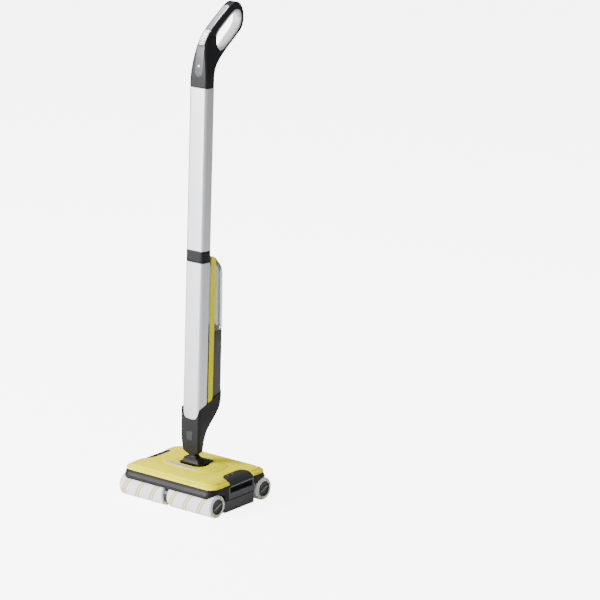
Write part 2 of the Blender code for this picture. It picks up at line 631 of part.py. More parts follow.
def power_parts(stick):
    """Battery, control board, pump and hose, all inside the stick."""
    cells = [x for x in (-0.0125, 0.0, 0.0125)]
    outline = arc((cells[-1], 0), 0.0095, -90, 90, 8) + arc((cells[0], 0), 0.0095, 90, 270, 8)
    link("battery_pack", prism("battery", outline, 0.075, 0.285), "cell_wrap", stick)
    link("control_board", box("board", (-0.021, -0.0008, 0.30), (0.021, 0.0008, 0.44)), "board", stick)
    pump = link("water_pump", prism("pump", circle((0, 0), 0.014, 28), -0.030, 0.030), "graphite", stick,
                (0, 0.046, 0.235))
    combine(pump, prism("inlet", circle((0, 0), 0.004, 16), 0.028, 0.046), "UNION", (0, 0.046, 0.235))
    route = [(0, 0.046, 0.204), (0, 0.046, 0.180), (0, 0.044, 0.155), (0, 0.040, 0.130), (0, 0.031, 0.105),
             (0, 0.0245, 0.085)]
    curve = bpy.data.curves.new("hose", "CURVE")
    curve.dimensions = "3D"
    curve.bevel_depth = 0.0025
    curve.bevel_resolution = 2
    curve.use_fill_caps = True
    spline = curve.splines.new("POLY")
    points = open_curve(route)
    spline.points.add(len(points) - 1)
    for made, point in zip(spline.points, points):
        made.co = (*point, 1.0)
    hose = bpy.data.objects.new("supply_hose", curve)
    hose.parent = stick
    curve.materials.append(finish("rubber"))
    bpy.context.scene.collection.objects.link(hose)


def open_curve(route, per_span=3):
    """An open Catmull-Rom curve through the route's points."""
    padded = [route[0]] + route + [route[-1]]
    points = []
    for a, b, c, d in zip(padded, padded[1:], padded[2:], padded[3:]):
        a, b, c, d = (Vector(p) for p in (a, b, c, d))
        for step in range(per_span):
            t = step / per_span
            points.append(0.5 * (2 * b + (c - a) * t + (2 * a - 5 * b + 4 * c - d) * t**2
                                 + (3 * b - a - 3 * c + d) * t**3))
    points.append(Vector(route[-1]))
    return points


# Handle, in stick axes


def handle_outline():
    """The handle's side view: a stem on the tube that leans back into the grip loop."""
    front = [(-0.0170, TUBE_TOP + GAP), (-0.0165, 0.960), (-0.0145, 0.985), (-0.0120, 1.008), (-0.0075, 1.027),
             (0.0040, 1.047), (0.0240, 1.069), (0.0540, 1.0925), (0.0810, 1.1120)]
    crown = arc((0.0975, 1.0830), 0.0365, 112, -14, 10)
    back = [(0.1240, 1.0530), (0.1100, 1.0410), (0.0890, 1.0238), (0.0660, 1.0058), (0.0475, 0.9925),
            (0.0300, 0.9760), (0.0200, 0.9620), (0.0170, 0.9450), (0.0170, TUBE_TOP + GAP)]
    return front + crown + back


def loop_hole(room=0.0):
    """The finger opening in the handle: pointed at the stem and round at the top."""
    points = [(0.0350, 1.0370), (0.0390, 1.0540), (0.0620, 1.0730), (0.0900, 1.0935), (0.1050, 1.0985),
              (0.1150, 1.0925), (0.1190, 1.0780), (0.1110, 1.0590), (0.0860, 1.0355), (0.0605, 1.0165),
              (0.0450, 1.0190)]
    centre = Vector((0.078, 1.056))
    moved = []
    for point in points:
        offset = Vector(point) - centre
        moved.append(tuple(centre + offset * (1 + room / offset.length)))
    return smooth_loop(moved)


def handle_envelope(low, high, grow=0.0):
    """The handle's front view on one side: as wide as the tube at its foot, narrowing to the loop."""
    widths = [(0.0280, TUBE_TOP - 0.03), (0.0280, 0.945), (0.0270, 0.962), (0.0240, 0.985), (0.0195, 1.008),
              (0.0155, 1.030), (LOOP_HALF_X + 0.001, 1.050), (LOOP_HALF_X, 1.075), (LOOP_HALF_X, 1.13)]
    sign = 1 if high > 0 else -1
    inner = low if sign > 0 else high
    points = [(sign * (w + grow), z) for w, z in widths]
    return points + [(inner, 1.13), (inner, TUBE_TOP - 0.03)]


def handle_shells(stick):
    def shell(side, sign):
        span = sided(sign, 0.5 * GAP, 0.03)
        made = link(f"handle_shell_{side}", prism("shell", handle_outline(), *span, along_x), "dark", stick)
        combine(made, prism("loop_room", loop_hole(0.0032), *sided(sign, -0.001, 0.04), along_x))
        combine(made, prism("envelope", handle_envelope(*span), -0.03, 0.15, along_y), "INTERSECT")
        combine(made, prism("trim_room", trim_outline(GAP, 0.004), *sided(sign, -0.001, 0.0090), along_x))
        combine(made, prism("panel_room", panel_outline(GAP, 0.004), *sided(sign, -0.001, 0.0122), along_x))
        spigot = box("spigot", (0.0004 if sign > 0 else -0.0235, -0.0125, 0.900),
                     (0.0235 if sign > 0 else -0.0004, 0.0125, 0.930))
        combine(made, spigot, "UNION")
        for name in BUTTON_SPANS:
            button_room(name, made)
    both_sides(shell)


def handle_lining(stick):
    """The light-grey ring inside the finger opening."""
    ring = prism("lining", loop_hole(0.0029), -0.0112, 0.0112, along_x)
    lining = link("handle_lining", ring, "light_grey", stick)
    combine(lining, prism("lining_room", loop_hole(0.0), -0.02, 0.02, along_x))


def trim_outline(room=0.0, proud=0.0):
    """The silver strip let into the front of the loop, from the buttons to the crown."""
    low, high = Vector((0.0040, 1.0470)), Vector((0.0810, 1.1120))
    middle = [Vector((0.0240, 1.0690)), Vector((0.0540, 1.0925))]
    inward = Vector((0.62, -0.785)) * (0.0035 + room)
    outer = [low, *middle, high]
    lift = Vector((-0.62, 0.785)) * proud
    return [tuple(p + lift) for p in outer] + [tuple(p + inward) for p in outer[::-1]]


def panel_outline(room=0.0, proud=0.0):
    """The grey control strip let into the front of the stem, below the trim."""
    outer = [(-0.0164, 0.962 - room), (-0.0145, 0.985), (-0.0120, 1.008), (-0.0075, 1.027), (0.0030, 1.0450)]
    outer = [(y - proud, z) for y, z in outer[:-1]] + [(0.0030 - proud, 1.0450 + 0.6 * proud + room)]
    inner = [(0.0072 + room, 1.0425 + room), (-0.0035 + room, 1.0250), (-0.0080 + room, 1.007),
             (-0.0105 + room, 0.985), (-0.0124 + room, 0.962 - room)]
    return outer + inner


def button_frame(name):
    """A button's middle on the front of the stem, and the unit directions along the stem and into it."""
    low, high = (Vector(point) for point in BUTTON_SPANS[name])
    along = (high - low).normalized()
    return (low + high) / 2, along, Vector((along[1], -along[0]))


def button_side(name, half, out, depth):
    """A button's side view: its half length, and how far it stands out of and goes into the stem."""
    _, along, inward = button_frame(name)
    corners = ((-half, -out), (half, -out), (half, depth), (-half, depth))
    return [tuple(along * a + inward * b) for a, b in corners]


def button_room(name, stick_part):
    middle = button_frame(name)[0]
    side = button_side(name, BUTTON_HALF + GAP, 0.010, 0.0055)
    width = BUTTON_HALF_X + GAP
    combine(stick_part, prism(f"{name}_room", side, -width, width, along_x), at=(0, middle[0], middle[1]))


def handle_fronts(stick):
    """Trim and control strip, and the two buttons in the strip."""
    link("handle_trim", prism("trim", trim_outline(), -0.0086, 0.0086, along_x), "silver", stick)
    strip = prism("panel", panel_outline(), -0.0118, 0.0118, along_x)
    panel = link("control_panel", strip, "light_grey", stick)
    for name in BUTTON_SPANS:
        middle = button_frame(name)[0]
        side = button_side(name, BUTTON_HALF, 0.0009, 0.0032)
        button = prism("button", side, -BUTTON_HALF_X, BUTTON_HALF_X, along_x)
        link(name, button, "dark", stick, (0, middle[0], middle[1]))
        button_room(name, panel)


def build_head():
    head = empty("head_middle", (0, HEAD_SHIFT, 0))
    pinion = gear_train(head)
    gear_case(pinion, head)
    drive_motor(pinion, head)
    for end, y in (("front", -AXLE_Y), ("rear", AXLE_Y)):
        axle(f"{end}_axle", y, head)
        bushes(end, y, head)
        for side, sign in (("left", -1), ("right", 1)):
            roller(end, side, sign, y, head)
    head_chassis(pinion, head)
    head_cover(head)
    cover_badge(head)
    base_plate(head)
    scrapers(head)
    for side, sign in (("left", -1), ("right", 1)):
        dirty_tank(side, sign, head)
        tank_latch(side, sign, head)
    joint_base(head)
    tilt_pin(head)


def build_stick():
    stick = empty("tilt_axis", (0, HEAD_SHIFT + PIVOT_Y, PIVOT_Z), LEAN)
    joint_knuckle(stick)
    neck_housing(stick)
    tube("lower_tube", TUBE_FOOT, BAND_FOOT - GAP, stick)
    tube_collar(stick)
    tube("upper_tube", BAND_TOP + GAP, TUBE_TOP, stick)
    back_cover(stick)
    fresh_tank(stick)
    tank_cap(stick)
    accent_frame(stick)
    power_parts(stick)
    handle_shells(stick)
    handle_lining(stick)
    handle_fronts(stick)


def main():
    clear_scene()
    build_head()
    build_stick()


main()
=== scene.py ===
"""The looks of a wet dry floor scrubber: fine surfaces and procedural finishes around its CAD frame."""

from __future__ import annotations

import json
import logging
import math
from collections.abc import Callable
from dataclasses import dataclass, field
from enum import Enum

import bmesh
import bpy
import numpy as np
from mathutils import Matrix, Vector


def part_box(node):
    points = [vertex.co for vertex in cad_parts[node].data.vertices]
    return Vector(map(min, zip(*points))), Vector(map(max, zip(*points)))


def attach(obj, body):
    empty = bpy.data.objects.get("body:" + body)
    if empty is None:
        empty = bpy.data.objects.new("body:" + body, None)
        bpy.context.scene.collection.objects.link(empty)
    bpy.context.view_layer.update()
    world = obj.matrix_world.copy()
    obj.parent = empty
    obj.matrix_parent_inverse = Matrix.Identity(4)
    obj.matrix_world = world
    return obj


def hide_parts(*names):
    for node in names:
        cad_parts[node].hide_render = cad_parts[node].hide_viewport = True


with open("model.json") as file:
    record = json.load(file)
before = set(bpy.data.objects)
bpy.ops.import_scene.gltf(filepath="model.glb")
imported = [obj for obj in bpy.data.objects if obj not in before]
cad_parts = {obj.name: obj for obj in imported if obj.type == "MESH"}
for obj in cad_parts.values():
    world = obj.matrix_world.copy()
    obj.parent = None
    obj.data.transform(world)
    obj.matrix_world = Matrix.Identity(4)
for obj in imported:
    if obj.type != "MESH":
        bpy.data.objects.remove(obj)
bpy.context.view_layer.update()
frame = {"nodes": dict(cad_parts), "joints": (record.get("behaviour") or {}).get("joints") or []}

logging.basicConfig(level=logging.INFO, format="%(message)s")
LOG = logging.getLogger("floor_scrubber")

Colour = tuple[float, float, float]
Array = np.ndarray
Height = Callable[[Array, Array], Array]
Value = float | Colour | bpy.types.NodeSocket


class Side(Enum):
    """The two sides of the machine, as seen from the front."""

    LEFT = -1
    RIGHT = 1

    @property
    def word(self) -> str:
        """The side's name in lower case."""
        return self.name.lower()


class Wrap(Enum):
    """Whether a surface closes on itself along its columns alone, or along its rows too."""

    COLUMNS = "columns"
    BOTH = "both"


class Plane(Enum):
    """The plane that a prism's outline lies in: the axes of its two coordinates, then the prism's axis."""

    XY = (0, 1, 2)
    YZ = (1, 2, 0)


# Surfaces


def quads(rows: int, cols: int, wrap: Wrap) -> Array:
    """Corner indices of the grid's quads, row by row.

    Args:
        rows: number of points along the first parameter.
        cols: number of points along the second parameter.
        wrap: which parameters close on themselves.

    Returns:
        An array of four vertex indices for each quad.
    """
    spans = rows if wrap is Wrap.BOTH else rows - 1
    i, j = (grid.ravel() for grid in np.meshgrid(np.arange(spans), np.arange(cols), indexing="ij"))
    down, across = (i + 1) % rows, (j + 1) % cols
    return np.stack([i * cols + j, i * cols + across, down * cols + across, down * cols + j], axis=1)


def skin(name: str, points: Array, wrap: Wrap = Wrap.COLUMNS,
         uv: tuple[Array, Array] | None = None) -> bpy.types.Object:
    """A closed skin over a grid of points. Unless the rows wrap too, the first and last rows are capped.

    Args:
        name: the piece's name.
        points: positions of shape (rows, columns, 3), in metres in the row frame.
        wrap: which parameters close on themselves.
        uv: optional texture coordinates of the rows and of the columns, the second with one more than these.

    Returns:
        The new object, at the origin, with its faces pointing outwards.
    """
    rows, cols, _ = points.shape
    faces = quads(rows, cols, wrap)
    mesh = bpy.data.meshes.new(name)
    caps = [] if wrap is Wrap.BOTH else [list(range(cols)), list(range((rows - 1) * cols, rows * cols))]
    mesh.from_pydata(points.reshape(-1, 3).tolist(), [], faces.tolist() + caps)
    if uv is not None:
        layer = mesh.uv_layers.new(name="surface")
        spans = np.arange(len(faces) // cols)
        i, j = (grid.ravel() for grid in np.meshgrid(spans, np.arange(cols), indexing="ij"))
        below = (i + 1) % rows
        u = np.stack([uv[0][i], uv[0][i], uv[0][below], uv[0][below]], axis=1)
        v = np.stack([uv[1][j], uv[1][j + 1], uv[1][j + 1], uv[1][j]], axis=1)
        flat = np.zeros((len(mesh.loops), 2), np.float32)
        flat[: u.size] = np.stack([u.ravel(), v.ravel()], axis=1)
        layer.data.foreach_set("uv", flat.ravel())
    return publish(name, mesh)


def publish(name: str, mesh: bpy.types.Mesh, sharp: float = 40.0) -> bpy.types.Object:
    """Turns a mesh's faces outwards, smooths its shading and puts it in the scene.

    Args:
        name: the piece's name.
        mesh: a closed mesh in the row frame.
        sharp: edges that turn by more than this many degrees stay crisp.

    Returns:
        The new object.
    """
    shape = bmesh.new()
    shape.from_mesh(mesh)
    bmesh.ops.remove_doubles(shape, verts=shape.verts, dist=1e-7)
    bmesh.ops.recalc_face_normals(shape, faces=shape.faces)
    shape.to_mesh(mesh)
    shape.free()
    mesh.shade_smooth()
    mesh.set_sharp_from_angle(angle=math.radians(sharp))
    made = bpy.data.objects.new(name, mesh)
    bpy.context.scene.collection.objects.link(made)
    return made


def baked(obj: bpy.types.Object, sharp: float = 40.0) -> bpy.types.Object:
    """Replaces an object by a plain mesh of what its modifiers make.

    Args:
        obj: the object, which is removed.
        sharp: edges that turn by more than this many degrees stay crisp.

    Returns:
        The new object, of the same name.
    """
    graph = bpy.context.evaluated_depsgraph_get()
    mesh = bpy.data.meshes.new_from_object(obj.evaluated_get(graph))
    name = obj.name
    bpy.data.objects.remove(obj)
    return publish(name, mesh, sharp)


def cut(obj: bpy.types.Object, tools: list[bpy.types.Object], sharp: float = 40.0) -> bpy.types.Object:
    """The object less each tool, as a plain mesh.

    Args:
        obj: the object to cut, which is removed.
        tools: closed cutters, which are removed too.
        sharp: edges that turn by more than this many degrees stay crisp.

    Returns:
        The new object, of the same name.
    """
    for tool in tools:
        modifier = obj.modifiers.new(tool.name, "BOOLEAN")
        modifier.operation = "DIFFERENCE"
        modifier.solver = "EXACT"
        modifier.object = tool
    bpy.context.view_layer.update()
    made = baked(obj, sharp)
    for tool in tools:
        bpy.data.objects.remove(tool)
    return made


def arc_points(centre: tuple[float, float], radius: float, start: float, stop: float, count: int) -> Array:
    """Points on a circle from one angle to the other, in degrees, both ends included."""
    angle = np.radians(np.linspace(start, stop, count))
    return np.stack([centre[0] + radius * np.cos(angle), centre[1] + radius * np.sin(angle)], axis=1)


def plan(front: float, back: float, half_front: float, half_back: float, round_front: float,
         round_back: float, per_corner: int = 12) -> Array:
    """A trapezoid plan with four round corners. Each corner is an arc that starts and ends along the axes.

    Args:
        front: y of the front edge.
        back: y of the back edge.
        half_front: half width at the front.
        half_back: half width at the back.
        round_front: corner radius at the front.
        round_back: corner radius at the back.
        per_corner: points along each corner.

    Returns:
        Points (x, y) once round, starting at the right back corner.
    """
    return np.concatenate([
        arc_points((half_back - round_back, back - round_back), round_back, 0, 90, per_corner),
        arc_points((round_back - half_back, back - round_back), round_back, 90, 180, per_corner),
        arc_points((round_front - half_front, front + round_front), round_front, 180, 270, per_corner),
        arc_points((half_front - round_front, front + round_front), round_front, 270, 360, per_corner),
    ])


def curve_through(points: list[tuple[float, ...]], per_span: int, closed: bool = False) -> Array:
    """A Catmull-Rom curve: each span is a cubic whose ends take their slope from the neighbouring points.

    Args:
        points: the points that it passes through.
        per_span: points along each span.
        closed: whether it returns to its first point.

    Returns:
        The curve's points.
    """
    p = np.array(points, float)
    ends = (p[-1:], p[:2]) if closed else (2 * p[:1] - p[1:2], 2 * p[-1:] - p[-2:-1])
    padded = np.concatenate([ends[0], p, ends[1]])
    a, b, c, d = padded[:-3, None], padded[1:-2, None], padded[2:-1, None], padded[3:, None]
    t = (np.arange(per_span) / per_span)[None, :, None]
    spans = 0.5 * (2 * b + (c - a) * t + (2 * a - 5 * b + 4 * c - d) * t**2 + (3 * b - a - 3 * c + d) * t**3)
    made = spans.reshape(-1, p.shape[1])
    return made if closed else np.concatenate([made, p[-1:]])


def even_steps(curve: Array, count: int, closed: bool = False) -> Array:
    """The curve's points taken again at equal distances along it.

    Args:
        curve: points in order.
        count: how many to take.
        closed: whether the curve returns to its first point.

    Returns:
        The new points.
    """
    whole = np.concatenate([curve, curve[:1]]) if closed else curve
    reach = np.concatenate([[0], np.cumsum(np.linalg.norm(np.diff(whole, axis=0), axis=1))])
    wanted = np.linspace(0, reach[-1], count + 1)[:-1] if closed else np.linspace(0, reach[-1], count)
    return np.stack([np.interp(wanted, reach, whole[:, k]) for k in range(whole.shape[1])], axis=1)


def superellipse(count: int, power: float) -> Array:
    """Points of |x|^p + |y|^p = 1, from the rule x = sign(cos a) |cos a|^(2/p), and y alike with the sine.

    Args:
        count: how many points.
        power: p, from 2 for a circle up to a squarer form.

    Returns:
        Points (x, y) once round.
    """
    a = np.linspace(0, 2 * np.pi, count, endpoint=False)
    round_form = np.stack([np.cos(a), np.sin(a)], axis=1)
    return np.sign(round_form) * np.abs(round_form) ** (2 / power)


def at_height(ring: Array, z: float) -> Array:
    """A plan of points (x, y) lifted to one height."""
    return np.column_stack([ring, np.full(len(ring), z)])


def extruded(name: str, outline: Array, plane: Plane, low: float, high: float) -> bpy.types.Object:
    """A straight prism over a flat outline.

    Args:
        name: the piece's name.
        outline: points once round, in the plane's two coordinates.
        plane: the plane that the outline lies in.
        low: where the prism starts along the third axis.
        high: where it ends.

    Returns:
        The new object.
    """
    points = np.zeros((2, len(outline), 3))
    points[:, :, plane.value[:2]] = outline
    points[:, :, plane.value[2]] = np.array([[low], [high]])
    return skin(name, points)


def turned(name: str, profile: Array, centre: tuple[float, float], steps: int) -> bpy.types.Object:
    """A body of revolution about a line along X: the profile's (x, radius) points, swept once round.

    Args:
        name: the piece's name.
        profile: points (x, radius), with a radius near zero at both ends.
        centre: y and z of the axis.
        steps: points round the circle.

    Returns:
        The new object.
    """
    angle = np.linspace(0, 2 * np.pi, steps, endpoint=False)
    x = np.broadcast_to(profile[:, 0, None], (len(profile), steps))
    y = centre[0] + profile[:, 1, None] * np.cos(angle)
    z = centre[1] + profile[:, 1, None] * np.sin(angle)
    return skin(name, np.stack([x, y, z], axis=2))


def band_over(name: str, path: Array, across: Array, out: Array, half_width: Array, depth: float,
              count: int = 32, power: float = 5.0) -> bpy.types.Object:
    """A flat strip carried along a path: a superellipse section, half_width across and depth thick.

    Args:
        name: the piece's name.
        path: points of shape (n, 3) that the strip's middle follows.
        across: unit directions of the width at each point.
        out: unit directions of the thickness at each point.
        half_width: half width at each point.
        depth: the strip's thickness.
        count: points round the section.
        power: the section's squareness.

    Returns:
        The new object.
    """
    ring = superellipse(count, power)
    points = (path[:, None] + across[:, None] * (half_width[:, None, None] * ring[None, :, :1])
              + out[:, None] * (0.5 * depth * ring[None, :, 1:]))
    return skin(name, points)


# Finishes


def linear(red: float, green: float, blue: float) -> Colour:
    """A display colour of 0 to 255 per channel as the linear values that a shader takes."""
    shown = (red / 255, green / 255, blue / 255)
    return tuple(c / 12.92 if c <= 0.04045 else ((c + 0.055) / 1.055) ** 2.4 for c in shown)


class Graph:
    """A node tree with short calls for adding nodes and joining sockets."""

    def __init__(self, tree: bpy.types.NodeTree) -> None:
        """Starts on a tree, from which any nodes are cleared."""
        self.tree = tree
        tree.nodes.clear()

    def add(self, kind: str, settings: dict[str, object] | None = None, **inputs: Value) -> bpy.types.Node:
        """Adds a node.

        Args:
            kind: the node type's identifier after "ShaderNode".
            settings: the node's own properties.
            inputs: values or output sockets for its inputs, named with underscores for spaces.

        Returns:
            The new node.
        """
        node = self.tree.nodes.new("ShaderNode" + kind)
        for key, value in (settings or {}).items():
            setattr(node, key, value)
        for key, value in inputs.items():
            self.feed(node, key.replace("_", " "), value)
        return node

    def feed(self, node: bpy.types.Node, name: str | int, value: Value) -> None:
        """Joins an output socket to an input, or sets the input's value.

        Args:
            node: the node that takes it.
            name: the input's name or number.
            value: the socket or the value.
        """
        socket = node.inputs[name]
        if isinstance(value, bpy.types.NodeSocket):
            self.tree.links.new(value, socket)
        elif socket.type == "RGBA" and len(value) == 3:
            socket.default_value = (*value, 1.0)
        else:
            socket.default_value = value

    def math(self, operation: str, a: Value, b: Value = 0.0, c: Value = 0.0) -> bpy.types.NodeSocket:
        """The result of a Math node.

        Args:
            operation: what it works out.
            a: its first value or socket.
            b: its second.
            c: its third.

        Returns:
            The output socket.
        """
        node = self.add("Math", {"operation": operation})
        for i, value in enumerate((a, b, c)):
            self.feed(node, i, value)
        return node.outputs[0]

    def mix(self, factor: Value, a: Value, b: Value) -> bpy.types.NodeSocket:
        """A colour mixed from a to b.

        Args:
            factor: 0 for a, 1 for b.
            a: a colour or socket.
            b: a colour or socket.

        Returns:
            The output socket.
        """
        node = self.add("Mix", {"data_type": "RGBA"})
        for name, value in (("Factor_Float", factor), ("A_Color", a), ("B_Color", b)):
            socket = next(s for s in node.inputs if s.identifier == name)
            if isinstance(value, bpy.types.NodeSocket):
                self.tree.links.new(value, socket)
            else:
                socket.default_value = value if isinstance(value, float) else (*value, 1.0)
        return next(s for s in node.outputs if s.identifier == "Result_Color")

    def fade(self, value: Value, near: float, far: float) -> bpy.types.NodeSocket:
        """A smooth step down.

        Args:
            value: a socket.
            near: where the result is still 1.
            far: where it reaches 0.

        Returns:
            The output socket.
        """
        node = self.add("MapRange", {"interpolation_type": "SMOOTHSTEP"})
        for slot, number in enumerate((value, near, far, 1.0, 0.0)):
            self.feed(node, slot, number)
        return node.outputs[0]


def shared(name: str, inputs: dict[str, str],
           outputs: dict[str, str]) -> tuple[Graph, bpy.types.Node, bpy.types.Node]:
    """A new node group with named sockets.

    Args:
        name: the group's name.
        inputs: socket name to socket type, without the "NodeSocket" in front.
        outputs: the same for the results.

    Returns:
        The group's graph, its input node and its output node.
    """
    tree = bpy.data.node_groups.new(name, "ShaderNodeTree")
    for side, sockets in (("INPUT", inputs), ("OUTPUT", outputs)):
        for label, kind in sockets.items():
            tree.interface.new_socket(name=label, in_out=side, socket_type="NodeSocket" + kind)
    graph = Graph(tree)
    return graph, tree.nodes.new("NodeGroupInput"), tree.nodes.new("NodeGroupOutput")


def grain_group() -> bpy.types.NodeTree:
    """Moulded grain: fine noise for the relief, and broad noise that varies the colour and the roughness.

    Returns:
        The new node group.
    """
    graph, given, result = shared(
        "moulded_grain",
        {"Colour": "Color", "Roughness": "Float", "Scale": "Float", "Relief": "Float"},
        {"Colour": "Color", "Roughness": "Float", "Normal": "Vector"})
    place = graph.add("TexCoord").outputs["Object"]
    fine = graph.add("TexNoise", Vector=place, Scale=given.outputs["Scale"], Detail=3.0, Roughness=0.6)
    broad = graph.add("TexNoise", Vector=place, Scale=16.0, Detail=4.0, Roughness=0.55)
    shade = graph.math("MULTIPLY_ADD", broad.outputs[0], 0.16, 0.92)
    colour = graph.add("VectorMath", {"operation": "SCALE"}, Scale=shade)
    graph.feed(colour, 0, given.outputs["Colour"])
    smudge = graph.math("MULTIPLY_ADD", broad.outputs[0], 0.16, -0.08)
    speck = graph.math("MULTIPLY_ADD", fine.outputs[0], 0.08, -0.04)
    rough = graph.math("ADD", given.outputs["Roughness"], graph.math("ADD", smudge, speck))
    bump = graph.add("Bump", Strength=given.outputs["Relief"], Distance=0.0002, Height=fine.outputs[0])
    for label, value in (("Colour", colour.outputs[0]), ("Roughness", rough), ("Normal", bump.outputs[0])):
        graph.feed(result, label, value)
    return graph.tree


def streak_group() -> bpy.types.NodeTree:
    """Drawn metal: noise stretched along the tube, for the relief and for a slight change of shade.

    Returns:
        The new node group.
    """
    graph, given, result = shared(
        "drawn_streaks",
        {"Colour": "Color", "Roughness": "Float", "Stretch": "Vector"},
        {"Colour": "Color", "Roughness": "Float", "Normal": "Vector"})
    place = graph.add("TexCoord").outputs["Object"]
    scaled = graph.add("VectorMath", {"operation": "MULTIPLY"})
    graph.feed(scaled, 0, place)
    graph.feed(scaled, 1, given.outputs["Stretch"])
    streaks = graph.add("TexNoise", Vector=scaled.outputs[0], Scale=1.0, Detail=3.0)
    flakes = graph.add("TexNoise", Vector=place, Scale=2600.0, Detail=1.0)
    level = graph.math("ADD", graph.math("MULTIPLY", streaks.outputs[0], 0.7),
                       graph.math("MULTIPLY", flakes.outputs[0], 0.3))
    shade = graph.math("MULTIPLY_ADD", level, 0.14, 0.93)
    colour = graph.add("VectorMath", {"operation": "SCALE"}, Scale=shade)
    graph.feed(colour, 0, given.outputs["Colour"])
    rough = graph.math("ADD", given.outputs["Roughness"], graph.math("MULTIPLY_ADD", level, 0.12, -0.06))
    bump = graph.add("Bump", Strength=0.06, Distance=0.0002, Height=level)
    for label, value in (("Colour", colour.outputs[0]), ("Roughness", rough), ("Normal", bump.outputs[0])):
        graph.feed(result, label, value)
    return graph.tree


def fleece_group() -> bpy.types.NodeTree:
    """Pile woven in slanted bands, from a sleeve's own unrolled coordinates in centimetres.

    A band repeats at each pitch along the sleeve, and leans by the slope. Each band holds a thin line on both
    sides of its middle, and noise frays the edges. Each tuft's colour also darkens from its middle to its
    edge, as painted shade between the tufts.

    Returns:
        The new node group.
    """
    graph, given, result = shared(
        "banded_pile",
        {"Pile": "Color", "Line": "Color", "Band": "Color", "Pitch": "Float", "Slope": "Float"},
        {"Colour": "Color", "Normal": "Vector"})
    sheet = graph.add("UVMap", {"uv_map": "surface"}).outputs[0]
    parts = graph.add("SeparateXYZ", Vector=sheet)
    place = graph.add("TexCoord").outputs["Object"]
    fray = graph.add("TexNoise", Vector=place, Scale=520.0, Detail=3.0, Roughness=0.7)
    lean = graph.math("MULTIPLY", parts.outputs[1], given.outputs["Slope"])
    along = graph.math("ADD", parts.outputs[0], lean)
    along = graph.math("ADD", along, graph.math("MULTIPLY_ADD", fray.outputs[0], 0.16, -0.08))
    phase = graph.math("PINGPONG", along, graph.math("MULTIPLY", given.outputs["Pitch"], 0.5))
    from_line = graph.math("ABSOLUTE", graph.math("SUBTRACT", phase, 0.44))
    line, band = graph.fade(from_line, 0.075, 0.16), graph.fade(phase, 0.36, 0.50)
    # Painted shade: each tuft's colour darkens from its middle to its edge, where the nap dips between tufts.
    tufts = graph.add("TexVoronoi", Vector=place, Scale=760.0)
    shade = graph.math("MULTIPLY_ADD", tufts.outputs["Distance"], -0.22, 1.08)
    banded = graph.mix(band, given.outputs["Pile"], given.outputs["Band"])
    woven = graph.mix(line, banded, given.outputs["Line"])
    colour = graph.add("VectorMath", {"operation": "SCALE"}, Scale=shade)
    graph.feed(colour, 0, woven)
    nap = graph.math("ADD", fray.outputs[0], graph.math("MULTIPLY", tufts.outputs["Distance"], -0.8))
    bump = graph.add("Bump", Strength=0.7, Distance=0.0006, Height=nap)
    graph.feed(result, "Colour", colour.outputs[0])
    graph.feed(result, "Normal", bump.outputs[0])
    return graph.tree


@dataclass(frozen=True)
class Finish:
    """A plain or metallic finish whose colour, roughness and relief come from one shared effect."""

    name: str
    colour: Colour
    roughness: float = 0.4
    metallic: float = 0.0
    coat: float = 0.0
    grain: float = 900.0
    relief: float = 0.25
    shine: float = 0.5

    def dress(self, graph: Graph, shader: bpy.types.Node) -> None:
        """Joins the moulded grain to the shader."""
        group = group_named("moulded_grain", grain_group)
        effect = graph.add("Group", {"node_tree": group}, Colour=self.colour, Roughness=self.roughness,
                           Scale=self.grain, Relief=self.relief)
        self.join(graph, effect, shader)

    @staticmethod
    def join(graph: Graph, effect: bpy.types.Node, shader: bpy.types.Node) -> None:
        """Feeds the shader from the effect's outputs.

        Args:
            graph: the material's graph.
            effect: the shared effect's node.
            shader: the shader that it feeds.
        """
        for label, socket in (("Colour", "Base Color"), ("Roughness", "Roughness"), ("Normal", "Normal")):
            if label in effect.outputs:
                graph.feed(shader, socket, effect.outputs[label])

    def material(self) -> bpy.types.Material:
        """The finish's material, made once.

        Returns:
            The material.
        """
        found = bpy.data.materials.get("finish_" + self.name)
        if found:
            return found
        made = bpy.data.materials.new("finish_" + self.name)
        made.use_nodes = True
        graph = Graph(made.node_tree)
        out = graph.add("OutputMaterial")
        shader = graph.add("BsdfPrincipled", Metallic=self.metallic, Roughness=self.roughness)
        shader.inputs["Coat Weight"].default_value = self.coat
        shader.inputs["Coat Roughness"].default_value = 0.08
        shader.inputs["Specular IOR Level"].default_value = self.shine
        graph.feed(out, "Surface", shader.outputs[0])
        self.dress(graph, shader)
        made.diffuse_color = (*self.colour, 1.0)
        return made

    def put_on(self, *pieces: bpy.types.Object) -> None:
        """Gives the pieces this finish alone."""
        for piece in pieces:
            piece.data.materials.clear()
            piece.data.materials.append(self.material())


@dataclass(frozen=True)
class DrawnMetal(Finish):
    """A metallic finish with streaks along one direction. The stretch is their fineness on each axis."""

    stretch: Colour = (900.0, 900.0, 6.0)

    def dress(self, graph: Graph, shader: bpy.types.Node) -> None:
        """Joins the streaks to the shader."""
        group = group_named("drawn_streaks", streak_group)
        effect = graph.add("Group", {"node_tree": group}, Colour=self.colour, Roughness=self.roughness,
                           Stretch=self.stretch)
        self.join(graph, effect, shader)


@dataclass(frozen=True)
class Clear(Finish):
    """A see-through tinted plastic, plain in its metallic and transmission values."""

    transmission: float = 0.85

    def dress(self, graph: Graph, shader: bpy.types.Node) -> None:
        """Joins a faint grain, and sets how much light passes."""
        super().dress(graph, shader)
        shader.inputs["Transmission Weight"].default_value = self.transmission
        shader.inputs["IOR"].default_value = 1.46


